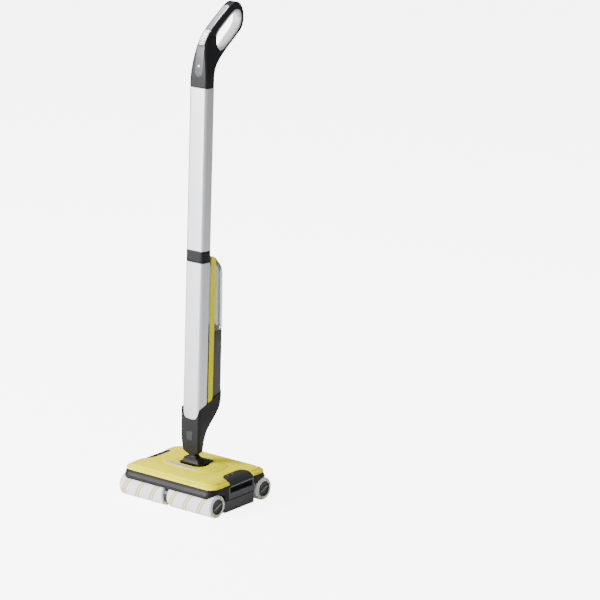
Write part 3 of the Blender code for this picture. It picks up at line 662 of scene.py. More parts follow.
@dataclass(frozen=True)
class Fleece(Finish):
    """Roller pile with slanted bands, a pitch in centimetres apart. The slope is their lean."""

    line: Colour = (0.8, 0.7, 0.2)
    band: Colour = (0.85, 0.83, 0.7)
    pitch: float = 4.5
    slope: float = 0.494

    def dress(self, graph: Graph, shader: bpy.types.Node) -> None:
        """Joins the banded pile, and sets a soft sheen."""
        group = group_named("banded_pile", fleece_group)
        effect = graph.add("Group", {"node_tree": group}, Pile=self.colour, Line=self.line, Band=self.band,
                           Pitch=self.pitch, Slope=self.slope)
        shader.inputs["Sheen Weight"].default_value = 0.35
        shader.inputs["Sheen Roughness"].default_value = 0.5
        self.join(graph, effect, shader)


def group_named(name: str, make: Callable[[], bpy.types.NodeTree]) -> bpy.types.NodeTree:
    """The shared node group of this name, made the first time it is asked for."""
    return bpy.data.node_groups.get(name) or make()


class Finishes(Enum):
    """Every finish on the machine."""

    YELLOW = Finish("yellow", (0.84, 0.76, 0.0), 0.42, shine=0.06, relief=0.08)
    DARK = Finish("dark", linear(22, 22, 24), 0.50, relief=0.40, shine=0.22)
    DARK_GLOSS = Finish("dark_gloss", linear(36, 36, 39), 0.20, coat=0.6, relief=0.06)
    HANDLE = Finish("handle", linear(25, 25, 28), 0.44, relief=0.20, shine=0.20)
    GRAPHITE = Finish("graphite", linear(62, 62, 65), 0.50, relief=0.45)
    BLACK = Finish("black", linear(26, 26, 29), 0.42, relief=0.40)
    GREY = Finish("grey", linear(186, 187, 190), 0.42, relief=0.20)
    STRIP = Finish("strip", linear(58, 59, 63), 0.36, relief=0.15, shine=0.30)
    BAR = Finish("bar", linear(112, 114, 110), 0.38, relief=0.15)
    BADGE = Finish("badge", linear(208, 205, 198), 0.30, metallic=0.35, relief=0.05)
    TRIM = DrawnMetal("trim", linear(206, 207, 210), 0.28, metallic=0.75, stretch=(900.0, 60.0, 60.0))
    TUBE = DrawnMetal("tube", linear(214, 215, 219), 0.36, metallic=0.82)
    STEEL = DrawnMetal("steel", linear(188, 190, 194), 0.24, metallic=1.0, stretch=(8.0, 900.0, 900.0))
    TANK = Clear("tank", linear(176, 178, 182), 0.16, coat=0.2, relief=0.05)
    FLEECE = Fleece("fleece", linear(240, 239, 240), 0.92, line=(0.36, 0.26, 0.0),
                    band=linear(238, 230, 168))
    HEM = Finish("hem", linear(196, 196, 198), 0.9, grain=1400.0, relief=0.9)
    RUBBER = Finish("rubber", linear(34, 34, 35), 0.62, relief=0.5)
    NYLON = Finish("nylon", linear(222, 219, 206), 0.48, relief=0.3)
    BOARD = Finish("board", linear(24, 88, 52), 0.38, coat=0.4, relief=0.3)
    CELL = Finish("cell", linear(44, 96, 150), 0.34, coat=0.4, relief=0.1)

    def on(self, *pieces: bpy.types.Object) -> None:
        """Gives the pieces this finish."""
        self.value.put_on(*pieces)


# Places


def joint_named(name: str) -> dict:
    """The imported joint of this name."""
    return next(j for j in frame["joints"] if j["name"] == name)


HEAD_MIDDLE_Y = 0.5 * sum(joint_named(f"{row}_roller_spin")["pos_m"][1] for row in ("front", "rear"))


class StickAxes:
    """The leaning stick's own axes: x across, y back and z up along it, from the tilt axis."""

    def __init__(self) -> None:
        """Reads the origin from the tilt joint and the backward direction from the swivel joint."""
        self.origin = np.array(joint_named("stick_tilt")["pos_m"], float)
        self.back = np.array(joint_named("stick_swivel")["axis"], float)
        self.up = np.array([0.0, -self.back[2], self.back[1]])

    def place(self, points: Array) -> Array:
        """Moves points from the stick's axes to the row frame.

        Args:
            points: an array whose last axis is x, y and z.

        Returns:
            The same array in the row frame.
        """
        p = np.asarray(points, float)
        side = np.array([1.0, 0.0, 0.0])
        return self.origin + p[..., :1] * side + p[..., 1:2] * self.back + p[..., 2:] * self.up

    def direction(self, vectors: Array) -> Array:
        """Directions given in the stick's axes, in the row frame."""
        return self.place(vectors) - self.origin


STICK = StickAxes()


def plate(name: str, outline: Array, top: Height, depth: float, bevel: float, inner: int) -> bpy.types.Object:
    """A plate with a curved top: the outline shrunk step by step towards its middle, and laid on the height.

    Args:
        name: the piece's name.
        outline: points (x, y) once round. The middle must see each of them.
        top: a function of arrays x and y that gives the top's height.
        depth: the plate's thickness.
        bevel: radius of the round top edge.
        inner: steps from the middle to the edge.

    Returns:
        The new object, in the row frame.
    """
    middle = outline.mean(axis=0)
    offset = outline - middle
    reach = np.linalg.norm(offset, axis=1, keepdims=True)
    quarter = np.radians(np.linspace(0, 90, 5))
    shares = np.linspace(0.02, 1, inner, endpoint=False) * (1 - 2 * bevel / reach.max())
    rows = [(middle + offset * s, 0.0) for s in shares]
    rows += [(middle + offset * (1 - bevel * (1 - np.sin(a)) / reach), bevel * (1 - np.cos(a)))
             for a in quarter]
    rows += [(outline, depth), (middle + offset * 0.02, depth)]
    grid = [np.column_stack([ring, top(ring[:, 0], ring[:, 1]) - drop]) for ring, drop in rows]
    return skin(name, np.array(grid))


# Sub-assemblies


@dataclass
class Assembly:
    """A sub-assembly. It collects its new pieces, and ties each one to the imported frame."""

    made: list[bpy.types.Object] = field(default_factory=list)

    def keep(self, piece: bpy.types.Object, finish: Finishes, body: str, slot: str, *nodes: str) -> None:
        """Dresses a piece and joins it to its body.

        Args:
            piece: the new object.
            finish: its finish.
            body: the body that it moves with.
            slot: not used.
            nodes: the CAD nodes that it stands for, if any.
        """
        finish.on(piece)
        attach(piece, body)
        if nodes:
            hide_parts(*nodes)
        self.made.append(piece)


# Rollers


@dataclass
class Rollers(Assembly):
    """Two rows of half rollers: a pile sleeve, its stitched hem, an end cap and a grip bar on each half."""

    radius: float = 0.029
    inner: float = 0.0075
    outer: float = 0.149
    round_end: float = 0.0045
    pile: float = 0.0007
    around: int = 240
    bore: float = 0.0196
    hem_radius: float = 0.00115
    stitches: int = 48
    cap_radius: float = 0.0193
    cap_lip: float = 0.0010
    bar_half: float = 0.0148
    bar_lean: float = 25.0
    seed: int = 7
    shift: dict[Side, float] = field(default_factory=lambda: {Side.LEFT: -0.6, Side.RIGHT: 2.0})

    def sleeve(self, name: str, side: Side, centre: tuple[float, float]) -> bpy.types.Object:
        """Pile on a cylinder: its radius falls on a quarter circle at each end, less random tufts.

        Args:
            name: the piece's name.
            side: which half of the row it is.
            centre: y and z of the axle.

        Returns:
            The new object, with its unrolled surface in centimetres as texture coordinates.
        """
        draws = np.random.default_rng(self.seed + side.value + (10 if name.startswith("rear") else 0))
        length = self.outer - self.inner
        t = np.concatenate([np.linspace(0, self.round_end, 8),
                            np.linspace(self.round_end, length - self.round_end, 150)[1:-1],
                            np.linspace(length - self.round_end, length, 8)])
        from_end = np.clip(np.minimum(t, length - t) / self.round_end, 0, 1)
        radius = self.radius - self.round_end * (1 - np.sqrt(1 - (1 - from_end) ** 2))
        tufts = draws.random((len(t), self.around))
        soft = sum(np.roll(tufts, s, axis=1) for s in (-1, 0, 1)) / 3
        soft = (soft + np.roll(soft, 1, axis=0)) / 2
        angle = np.linspace(0, 2 * np.pi, self.around, endpoint=False)
        bore = np.full((1, self.around), self.bore)
        r = np.concatenate([bore, radius[:, None] - self.pile * soft, bore])
        t = np.concatenate([t[:1], t, t[-1:]])
        x = np.broadcast_to((side.value * (self.inner + t))[:, None], r.shape)
        points = np.stack([x, centre[0] + r * np.cos(angle), centre[1] + r * np.sin(angle)], axis=2)
        along = 100 * side.value * (self.inner + t) + self.shift[side]
        turns = np.linspace(0, 2 * np.pi, self.around + 1)
        return skin(name, points, Wrap.BOTH, uv=(along, 100 * self.radius * turns))

    def hem(self, name: str, side: Side, centre: tuple[float, float]) -> bpy.types.Object:
        """A rolled edge round the sleeve's outer end: a torus whose thickness waves once for each stitch.

        Args:
            name: the piece's name.
            side: which half of the row it is.
            centre: y and z of the axle.

        Returns:
            The new object.
        """
        turn = np.linspace(0, 2 * np.pi, self.around, endpoint=False)
        section = np.linspace(0, 2 * np.pi, 14, endpoint=False)
        thick = self.hem_radius * (1 + 0.22 * np.cos(self.stitches * turn))
        ring = self.radius - self.round_end - 0.0003
        x = side.value * (self.outer - 0.0004) + thick[:, None] * np.sin(section)
        r = ring + thick[:, None] * np.cos(section)
        y, z = centre[0] + r * np.cos(turn)[:, None], centre[1] + r * np.sin(turn)[:, None]
        return skin(name, np.stack([x, y, z], axis=2), Wrap.BOTH)

    def cap(self, name: str, side: Side, centre: tuple[float, float]) -> bpy.types.Object:
        """A dished disc with a round lip, as a body of revolution.

        Args:
            name: the piece's name.
            side: which half of the row it is.
            centre: y and z of the axle.

        Returns:
            The new object.
        """
        r, lip = self.cap_radius, self.cap_lip
        rim = arc_points((self.outer, r - lip), lip, 90, 0, 6)
        well = arc_points((self.outer, r - 2.4 * lip), lip, 0, -60, 5)
        shape = np.concatenate([[(0.1437, 0.0002), (0.1437, r)], rim, well,
                                [(0.1478, r - 0.0044), (0.1476, 0.0002)]])
        shape[:, 0] *= side.value
        return turned(name, shape, centre, 120)

    def bar(self, name: str, side: Side, centre: tuple[float, float]) -> bpy.types.Object:
        """The grip bar across the cap: a strip with round ends that rises to the back.

        Args:
            name: the piece's name.
            side: which half of the row it is.
            centre: y and z of the axle.

        Returns:
            The new object.
        """
        lean, count = math.radians(self.bar_lean), 25
        along = np.linspace(-1, 1, count)
        path = np.stack([np.full(count, side.value * 0.1484),
                         centre[0] + self.bar_half * along * math.cos(lean),
                         centre[1] + self.bar_half * along * math.sin(lean)], axis=1)
        across = np.tile([0.0, -math.sin(lean), math.cos(lean)], (count, 1))
        out = np.tile([float(side.value), 0.0, 0.0], (count, 1))
        half = 0.0024 * np.sqrt(np.clip(1 - np.abs(along) ** 8, 0.02, 1))
        return band_over(name, path, across, out, half, 0.0024, power=6.0)

    def half(self, row: str, side: Side) -> None:
        """Builds one half roller, and lets its pieces turn with their row.

        Args:
            row: "front" or "rear".
            side: which half of the row it is.
        """
        centre = tuple(joint_named(f"{row}_roller_spin")["pos_m"][1:])
        word, fleece = side.word, "sleeve_fleece"
        parts = (("fleece", self.sleeve, Finishes.FLEECE, fleece, [f"{row}_roller_sleeve_{word}"]),
                 ("hem", self.hem, Finishes.HEM, fleece, []),
                 ("end_cap", self.cap, Finishes.BLACK, "body_dark", [f"{row}_roller_cap_{word}"]),
                 ("end_bar", self.bar, Finishes.BAR, "lining_grey", []))
        for part, make, finish, slot, nodes in parts:
            self.keep(make(f"{row}_{part}_{word}", side, centre), finish, f"{row}_rollers", slot, *nodes)

    def build(self) -> list[bpy.types.Object]:
        """Builds both rows and returns the new pieces."""
        for row in ("front", "rear"):
            for side in Side:
                self.half(row, side)
        return self.made


# Head


@dataclass
class HeadCover(Assembly):
    """The yellow cover with its grooves, the blank badge and the two tank latches.

    Each row of rims is an inset from the outline, a height and a corner radius. Each row of crown is an
    inset in x, an inset in y, a height and a corner radius.
    """

    half_x: float = 0.147
    half_y: float = 0.104
    foot: float = 0.0716
    wall: float = 0.0022
    rims: tuple[tuple[float, float, float], ...] = (
        (0.0005, 0.0716, 0.024), (0.0, 0.0738, 0.024), (0.0006, 0.0758, 0.024), (0.0026, 0.0776, 0.024),
        (0.0058, 0.0789, 0.023), (0.0092, 0.0800, 0.023))
    grooves: tuple[float, ...] = (0.0100, 0.0160)
    groove: tuple[tuple[float, float], ...] = (
        (0.0, 0.0), (0.0003, 0.0010), (0.0011, 0.0010), (0.0014, -0.0004), (0.0022, -0.0001))
    crown: tuple[tuple[float, float, float, float], ...] = (
        (0.0620, 0.0560, 0.0864, 0.040), (0.0623, 0.0563, 0.0874, 0.040), (0.0640, 0.0580, 0.0877, 0.040),
        (0.0700, 0.0620, 0.0884, 0.038), (0.0850, 0.0700, 0.0893, 0.030), (0.1050, 0.0760, 0.0898, 0.024))
    latch_span: tuple[float, float] = (-0.038, 0.050)
    latch_gap: float = 0.0013
    badge_x: tuple[float, float] = (-0.064, 0.050)
    badge_y: float = -0.0440
    badge_width: float = 0.0125

    def ring(self, inset: float, z: float, corner: float, inset_y: float | None = None) -> Array:
        """A plan round the head's middle, set in from the outline, at one height.

        Args:
            inset: how far in from the outline.
            z: its height.
            corner: its corner radius.
            inset_y: how far in at the front and back, where that differs.

        Returns:
            Points (x, y, z) once round.
        """
        far = self.half_y - (inset if inset_y is None else inset_y)
        half = self.half_x - inset
        flat = plan(HEAD_MIDDLE_Y - far, HEAD_MIDDLE_Y + far, half, half, corner, corner, 24)
        return at_height(flat, z)

    @staticmethod
    def dome(inset: float) -> float:
        """The cover's height at a distance in from its outline: a curve that flattens towards the middle."""
        return 0.0802 + 0.0068 * (1 - (1 - min(inset, 0.062) / 0.062) ** 1.7)

    def shell(self) -> bpy.types.Object:
        """The cover: a rounded rim, two grooves, a dome, a raised oval in its middle, and the inside.

        Returns:
            The new object, with a notch for each latch.
        """
        rings = [self.ring(*row) for row in self.rims]
        for start in self.grooves:
            rings += [self.ring(start + step, self.dome(start) + 0.12 * step - drop, 0.023)
                      for step, drop in self.groove]
        rings += [self.ring(inset, self.dome(inset), 0.023 + 0.3 * (inset - 0.02))
                  for inset in np.linspace(0.021, 0.055, 8)]
        rings += [self.ring(inset, z, corner, inset_y) for inset, inset_y, z, corner in self.crown]
        rings.append(self.ring(0.1100, self.crown[-1][2] - self.wall, 0.022, 0.0780))
        rings += [self.ring(inset, max(self.dome(inset) - self.wall, self.foot), 0.027)
                  for inset in (0.060, 0.050, 0.038, 0.024)]
        rings += [self.ring(0.0040, 0.0755, 0.027), self.ring(0.0030, self.foot, 0.028)]
        notches = [extruded("notch", self.latch_outline(side, self.latch_gap), Plane.XY, 0.05, 0.12)
                   for side in Side]
        return cut(skin("cover_shell", np.array(rings), Wrap.BOTH), notches, 30.0)

    def latch_outline(self, side: Side, room: float = 0.0) -> Array:
        """A latch seen from above: straight along the head's side and arched towards the middle.

        Args:
            side: which latch it is.
            room: how far the outline stands outside the latch.

        Returns:
            Points (x, y) once round.
        """
        front, back = (HEAD_MIDDLE_Y + y for y in self.latch_span)
        front, back = front - room, back + room
        points = [(0.1480 + 4 * room, front), (0.1330, front), (0.1210 - room, front + 0.006),
                  (0.1145 - room, front + 0.018), (0.1132 - room, front + 0.032),
                  (0.1132 - room, back - 0.030), (0.1145 - room, back - 0.017), (0.1210 - room, back - 0.006),
                  (0.1330, back), (0.1480 + 4 * room, back)]
        curve = even_steps(curve_through(points, 10), 90)
        curve[:, 0] *= side.value
        return curve

    @staticmethod
    def latch_top(x: Array, y: Array) -> Array:
        """The latch's height: it follows the cover inwards and rolls over towards the head's side."""
        out = np.clip((np.abs(x) - 0.112) / 0.036, 0, 1)
        return 0.0862 - 0.0050 * out - 0.0125 * out**4

    def rib_top(self, x: Array, y: Array) -> Array:
        """A rib's height: it stands 1.3 mm above the latch."""
        return self.latch_top(x, y) + 0.0013

    def latch(self, side: Side) -> None:
        """Builds one latch plate with three short ribs."""
        body, word = f"latch_{side.word}", side.word
        made = plate(f"latch_plate_{word}", self.latch_outline(side), self.latch_top, 0.0030, 0.0008, 16)
        self.keep(made, Finishes.DARK_GLOSS, body, "body_dark", f"tank_latch_{word}")
        for i in range(3):
            middle = (0.1220, HEAD_MIDDLE_Y + 0.006 + 0.0170 * (i - 1))
            ring = superellipse(48, 4.0) * (0.0016, 0.0062) + middle
            ring[:, 0] *= side.value
            rib = plate(f"latch_rib_{word}_{i + 1}", ring, self.rib_top, 0.0022, 0.0006, 4)
            self.keep(rib, Finishes.DARK_GLOSS, body, "body_dark")

    def badge(self) -> bpy.types.Object:
        """A blank silver strip on the raised oval's front edge.

        Its front edge is a flat parabola. Its width rises on a square root at the left, and falls on a fourth
        power to a point at the right.

        Returns:
            The new object.
        """
        t = np.linspace(0, 1, 60)
        x = self.badge_x[0] + (self.badge_x[1] - self.badge_x[0]) * t
        front = HEAD_MIDDLE_Y + self.badge_y + 0.0060 * (2 * t - 1) ** 2
        width = self.badge_width * np.minimum(1, t / 0.12) ** 0.5 * (1 - t**4)
        outline = np.concatenate([np.column_stack([x, front]), np.column_stack([x, front + width])[::-1]])
        return plate("badge_strip", even_steps(outline, 160, closed=True), self.badge_top, 0.0011, 0.0003, 8)

    @staticmethod
    def badge_top(x: Array, y: Array) -> Array:
        """The badge's height: just proud of the raised oval's edge."""
        return 0.0888 + 0.0017 * np.clip((y - HEAD_MIDDLE_Y + 0.048) / 0.034, 0, 1)

    def build(self) -> list[bpy.types.Object]:
        """Builds the cover, the latches and the badge, and returns the new pieces."""
        self.keep(self.shell(), Finishes.YELLOW, "head", "cover_yellow", "head_cover")
        for side in Side:
            self.latch(side)
        self.keep(self.badge(), Finishes.BADGE, "head", "trim_silver", "cover_badge")
        return self.made


@dataclass
class FloorJoint(Assembly):
    """The joint on the cover: a concave pyramid with a pocket for the fork, and the tongue that holds the pin.

    The flare is the power of the pyramid's sides. The rest is the flat behind the pocket: its front edge, from
    the head's middle, and its height.
    """

    foot: tuple[float, float] = (0.0335, 0.0280)
    peak: tuple[float, float] = (0.0236, 0.0150)
    rise: float = 0.0120
    flare: float = 0.42
    pocket_radius: float = 0.0125
    pocket_half: float = 0.0168
    rest: tuple[float, float] = (0.0010, 0.0926)
    tongue_half: float = 0.0068
    tongue_radius: float = 0.0072
    pin_room: float = 0.0033

    def base(self) -> bpy.types.Object:
        """The pyramid: each side falls away on a power curve, steep at the top and flat at the foot.

        Returns:
            The new object, with the fork's pocket and the flat behind it, where the neck comes to rest.
        """
        pivot = joint_named("stick_tilt")["pos_m"]
        z0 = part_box("head_cover")[1][2] + 0.0003
        rings = []
        for t in np.concatenate([[0.0], np.linspace(0.0, 1.0, 16)]):
            half = [a + (b - a) * t**self.flare for a, b in zip(self.foot, self.peak)]
            middle = HEAD_MIDDLE_Y + 0.0070 * (1 - t**self.flare) - 0.0010 * t
            lift = z0 + 0.0014 + self.rise * t if rings else z0
            ring = plan(middle - half[1], middle + half[1], half[0], half[0], 0.0045, 0.0045, 10)
            rings.append(at_height(ring, lift))
        bowl = arc_points((pivot[1], pivot[2]), self.pocket_radius, 0, 360, 73)[:-1]
        front, back, low = HEAD_MIDDLE_Y + self.rest[0], HEAD_MIDDLE_Y + 0.06, self.rest[1]
        behind = np.array([(front, low), (back, low), (back, 0.2), (front, 0.2)])
        tools = [extruded("pocket", bowl, Plane.YZ, -self.pocket_half, self.pocket_half),
                 extruded("rest", behind, Plane.YZ, -0.05, 0.05)]
        return cut(skin("joint_pyramid", np.array(rings)), tools, 35.0)

    def tongue(self) -> bpy.types.Object:
        """The tongue between the fork's arms: a half circle on a straight foot, with the pin's hole.

        Returns:
            The new object.
        """
        y, z = joint_named("stick_tilt")["pos_m"][1:]
        low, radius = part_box("head_cover")[1][2] + 0.0006, self.tongue_radius
        outline = np.concatenate([arc_points((y, z), radius, 0, 180, 25),
                                  [(y - radius, low), (y + radius, low)]])
        made = extruded("joint_tongue", outline, Plane.YZ, -self.tongue_half, self.tongue_half)
        hole = arc_points((y, z), self.pin_room, 0, 360, 49)[:-1]
        return cut(made, [extruded("pin_hole", hole, Plane.YZ, -0.02, 0.02)], 35.0)

    def build(self) -> list[bpy.types.Object]:
        """Builds the joint and returns the new pieces."""
        self.keep(self.base(), Finishes.DARK, "head", "body_dark", "joint_base")
        self.keep(self.tongue(), Finishes.DARK, "head", "body_dark")
        return self.made


# Stick


def loft(name: str, sections: Array, sharp: float = 40.0) -> bpy.types.Object:
    """A closed skin over sections given in the stick's axes.

    Args:
        name: the piece's name.
        sections: points of shape (rows, columns, 3).
        sharp: edges that turn by more than this many degrees stay crisp.

    Returns:
        The new object.
    """
    made = skin(name, STICK.place(sections))
    made.data.set_sharp_from_angle(angle=math.radians(sharp))
    return made


def prism_across(name: str, outline: Array, low: float, high: float, axis: int) -> bpy.types.Object:
    """A prism in the stick's axes, over an outline in the two other coordinates.

    Args:
        name: the piece's name.
        outline: points once round.
        low: where the prism starts along the axis.
        high: where it ends.
        axis: 0 for across the stick, 1 for front to back.

    Returns:
        The new object.
    """
    return loft(name, np.array([np.insert(outline, axis, level, axis=1) for level in (low, high)]))


def slope(name: str, front: float, back: float, end: float) -> bpy.types.Object:
    """A wide cutter on one side of a plane that slopes up towards the back.

    Args:
        name: the cutter's name.
        front: height of the plane 60 mm in front of the stick's axis.
        back: height of the plane 100 mm behind it.
        end: height where the cutter ends, above or below the plane.

    Returns:
        The new object.
    """
    corners = np.array([[0, -0.06, front], [0, 0.10, back], [0, 0.10, end], [0, -0.06, end]])
    return extruded(name, STICK.place(corners)[:, 1:], Plane.YZ, -0.1, 0.1)


def fused(name: str, parts: list[bpy.types.Object], voxel: float, rounds: int) -> bpy.types.Object:
    """One body from overlapping closed ones, with its edges rounded by smoothing. The parts are removed.

    Args:
        name: the piece's name.
        parts: closed bodies that overlap.
        voxel: size of the grid that the body is rebuilt on.
        rounds: how many times each point moves towards its neighbours.

    Returns:
        The new object.
    """
    whole = bmesh.new()
    for part in parts:
        whole.from_mesh(part.data)
        bpy.data.objects.remove(part)
    mesh = bpy.data.meshes.new(name)
    whole.to_mesh(mesh)
    whole.free()
    made = bpy.data.objects.new(name, mesh)
    bpy.context.scene.collection.objects.link(made)
    remesh = made.modifiers.new("rebuild", "REMESH")
    remesh.mode = "VOXEL"
    remesh.voxel_size = voxel
    smooth = made.modifiers.new("soften", "SMOOTH")
    smooth.factor = 0.5
    smooth.iterations = rounds
    bpy.context.view_layer.update()
    return baked(made, 180.0)


@dataclass
class Column(Assembly):
    """The two silver tubes, the collar between them, the dark neck and the bodies behind the lower tube.

    Heights are along the stick. Each row of neck_rows is a height, the front and back y, and the half widths
    in front and behind. Each row of collar_edge is a distance from the band's end, and how far it stands out.
    """

    half_x: float = 0.028
    half_y: float = 0.017
    corner: float = 0.009
    tubes: tuple[tuple[str, float, float], ...] = (("lower", 0.0975, 0.4957), ("upper", 0.5253, 0.9257))
    collar_span: tuple[float, float] = (0.4962, 0.5248)
    collar_edge: tuple[tuple[float, float], ...] = (
        (0.0, -0.0008), (0.0004, -0.0001), (0.0012, 0.0002), (0.0035, 0.0002), (0.0037, -0.0002),
        (0.0043, -0.0002), (0.0045, 0.0002))
    neck_rows: tuple[tuple[float, ...], ...] = (
        (0.0082, -0.0115, 0.0113, 0.0092, 0.0090), (0.0095, -0.0118, 0.0118, 0.0125, 0.0118),
        (0.0160, -0.0135, 0.0132, 0.0262, 0.0225), (0.0185, -0.0142, 0.0138, 0.0266, 0.0228),
        (0.0300, -0.0166, 0.0152, 0.0275, 0.0230), (0.0450, -0.0184, 0.0178, 0.0286, 0.0235),
        (0.0560, -0.0189, 0.0212, 0.0292, 0.0240), (0.0690, -0.0191, 0.0272, 0.0294, 0.0243),
        (0.0820, -0.0192, 0.0362, 0.0295, 0.0258), (0.0960, -0.0193, 0.0478, 0.0296, 0.0272),
        (0.1090, -0.0194, 0.0590, 0.0297, 0.0274), (0.1190, -0.0195, 0.0664, 0.0297, 0.0274),
        (0.1300, -0.0195, 0.0714, 0.0297, 0.0270), (0.1480, -0.0195, 0.0750, 0.0297, 0.0262),
        (0.1720, -0.0195, 0.0754, 0.0297, 0.0256))
    swivel_rise: float = 0.015
    fork_half: float = 0.0084
    rim_half: float = 0.0286
    rim_low: float = 0.1012
    rim_rise: float = 0.0245
    body_half: float = 0.025
    back: tuple[tuple[float, float], ...] = (
        (0.100, 0.0520), (0.114, 0.0630), (0.130, 0.0712), (0.148, 0.0748), (0.230, 0.0748), (0.319, 0.0744),
        (0.400, 0.0734), (0.455, 0.0722), (0.469, 0.0705), (0.480, 0.0650), (0.490, 0.0560), (0.4985, 0.0460),
        (0.503, 0.0380))

    def section(self, grow: float) -> Array:
        """The tubes' plan, grown outwards."""
        x, y, corner = self.half_x + grow, self.half_y + grow, self.corner + grow
        return plan(-y, y, x, x, corner, corner, 16)

    def tube(self, name: str, low: float, high: float) -> bpy.types.Object:
        """One tube, with a small bevel at each end.

        Args:
            name: the piece's name.
            low: height where it starts.
            high: height where it ends.

        Returns:
            The new object.
        """
        bevel = 0.0004
        rows = ((low, -bevel), (low + bevel, 0.0), (high - bevel, 0.0), (high, -bevel))
        return loft(name, np.array([at_height(self.section(grow), z) for z, grow in rows]))

    def collar(self) -> bpy.types.Object:
        """The dark band between the tubes: round edges, and a fine groove near each end.

        Returns:
            The new object.
        """
        low, high = self.collar_span
        rows = [(low + z, grow) for z, grow in self.collar_edge]
        rows += [(high - z, grow) for z, grow in self.collar_edge[::-1]]
        return loft("collar_band", np.array([at_height(self.section(grow), z) for z, grow in rows]), 30.0)

    def neck(self) -> bpy.types.Object:
        """The neck: narrow over the joint, flared backwards in an S, with a U-shaped rim at the tube's foot.

        Returns:
            The new object, with room for the fork's lobe below and a sloping top.
        """
        rings = []
        for z, front, back, wide, thin in self.neck_rows:
            corners = min(0.0055, 0.4 * wide), min(0.012, 0.45 * (back - front))
            rings.append(at_height(plan(front, back, wide, thin, *corners), z))
        axis = (0, self.swivel_rise)
        room = np.concatenate([arc_points(axis, 0.0097, 12, 168, 24), arc_points(axis, 0.0182, 175, 365, 40)])
        x = np.linspace(-self.rim_half, self.rim_half, 61)
        rim = np.column_stack([x, self.rim_low + self.rim_rise * np.abs(x / self.rim_half) ** 4.5])
        rim = np.concatenate([rim, [(self.rim_half, 0.2), (-self.rim_half, 0.2)]])
        tools = [prism_across("lobe_room", room, -self.fork_half, self.fork_half, 1),
                 prism_across("rim_dip", rim, -0.05, -0.0100, 1), slope("rim_slope", 0.110, 0.172, 0.3)]
        return cut(loft("neck_shell", np.array(rings)), tools, 35.0)

    def neck_plate(self) -> bpy.types.Object:
        """The small blank plate that lies on the neck's front.

        Returns:
            The new object.
        """
        count = 24
        z = np.linspace(0.047, 0.070, count)
        y = np.interp(z, (0.045, 0.056, 0.07), (-0.01855, -0.01905, -0.01925))
        t = np.linspace(-1, 1, count)
        half = 0.0092 * np.clip(1 - np.abs(t) ** 10, 0.05, 1) ** 0.5
        ahead = np.tile(STICK.direction(np.array([0.0, -1.0, 0.0])), (count, 1))
        path = STICK.place(np.column_stack([np.zeros(count), y, z]))
        return band_over("neck_plate", path, np.tile([1.0, 0.0, 0.0], (count, 1)), ahead, half, 0.0008)

    def body(self, name: str, heights: Array, front: float, shrink: Array) -> bpy.types.Object:
        """A body behind the tube: flat front, round back, with its plan set in by shrink at each height.

        Args:
            name: the piece's name.
            heights: height of each section.
            front: y of the flat front.
            shrink: how far each section is set in.

        Returns:
            The new object.
        """
        contour = curve_through(list(self.back), 8)
        rings = []
        for z, less in zip(heights, shrink):
            half, back = self.body_half - less, float(np.interp(z, contour[:, 0], contour[:, 1])) - less
            deep = min(0.0145, 0.8 * (back - front), half - 0.001)
            rings.append(at_height(plan(front, back, half, half, 0.0012, deep, 14), z))
        return loft(name, np.array(rings))

    def back_shell(self) -> bpy.types.Object:
        """The back cover: its foot slopes along the neck, and its top edge is rounded.

        Returns:
            The new object.
        """
        heights = np.array([0.1215, 0.1225, 0.130, 0.140, 0.150, 0.180, 0.230, 0.280, 0.3155, 0.3168, 0.3174])
        shrink = np.zeros(len(heights))
        shrink[[0, -2, -1]] = (0.0008, 0.0004, 0.0012)
        made = self.body("back_shell", heights, 0.0333, shrink)
        return cut(made, [slope("foot_slope", 0.1115, 0.1735, 0.05)], 35.0)

    def tank(self) -> bpy.types.Object:
        """The fresh water tank, with a round shoulder.

        Returns:
            The new object.
        """
        heights = np.concatenate([[0.3182, 0.3188, 0.3200], np.linspace(0.330, 0.450, 8),
                                  np.linspace(0.458, 0.5005, 26), [0.5024]])
        shrink = np.zeros(len(heights))
        shrink[:2] = (0.0012, 0.0004)
        return self.body("water_tank", heights, 0.0336, shrink)

    def build(self) -> list[bpy.types.Object]:
        """Builds the column from the neck up and returns the new pieces."""
        self.keep(self.neck(), Finishes.DARK, "stick", "body_dark", "neck_housing")
        self.keep(self.neck_plate(), Finishes.BLACK, "stick", "body_dark")
        for word, low, high in self.tubes:
            made = self.tube(f"{word}_column", low, high)
            self.keep(made, Finishes.TUBE, "stick", "tube_silver", f"{word}_tube")
        self.keep(self.collar(), Finishes.DARK, "stick", "body_dark", "tube_collar")
        self.keep(self.back_shell(), Finishes.GRAPHITE, "stick", "body_graphite", "back_cover")
        self.keep(self.tank(), Finishes.TANK, "fresh_tank", "tank_smoke", "fresh_tank")
        return self.made


@dataclass(frozen=True)
class Strip:
    """A strip laid along the handle's front contour.

    The span is in parts of the contour's length, and proud is how far its face stands out of the shell. The
    ends say how round its lower and upper ends are, where 0 is square and 1 a half circle. Dimples is the
    depth of a woven relief.
    """

    name: str
    finish: Finishes
    slot: str
    span: tuple[float, float]
    half: float
    proud: float
    ends: tuple[float, float]
    steps: int
    dimples: float = 0.0
    nodes: tuple[str, ...] = ()


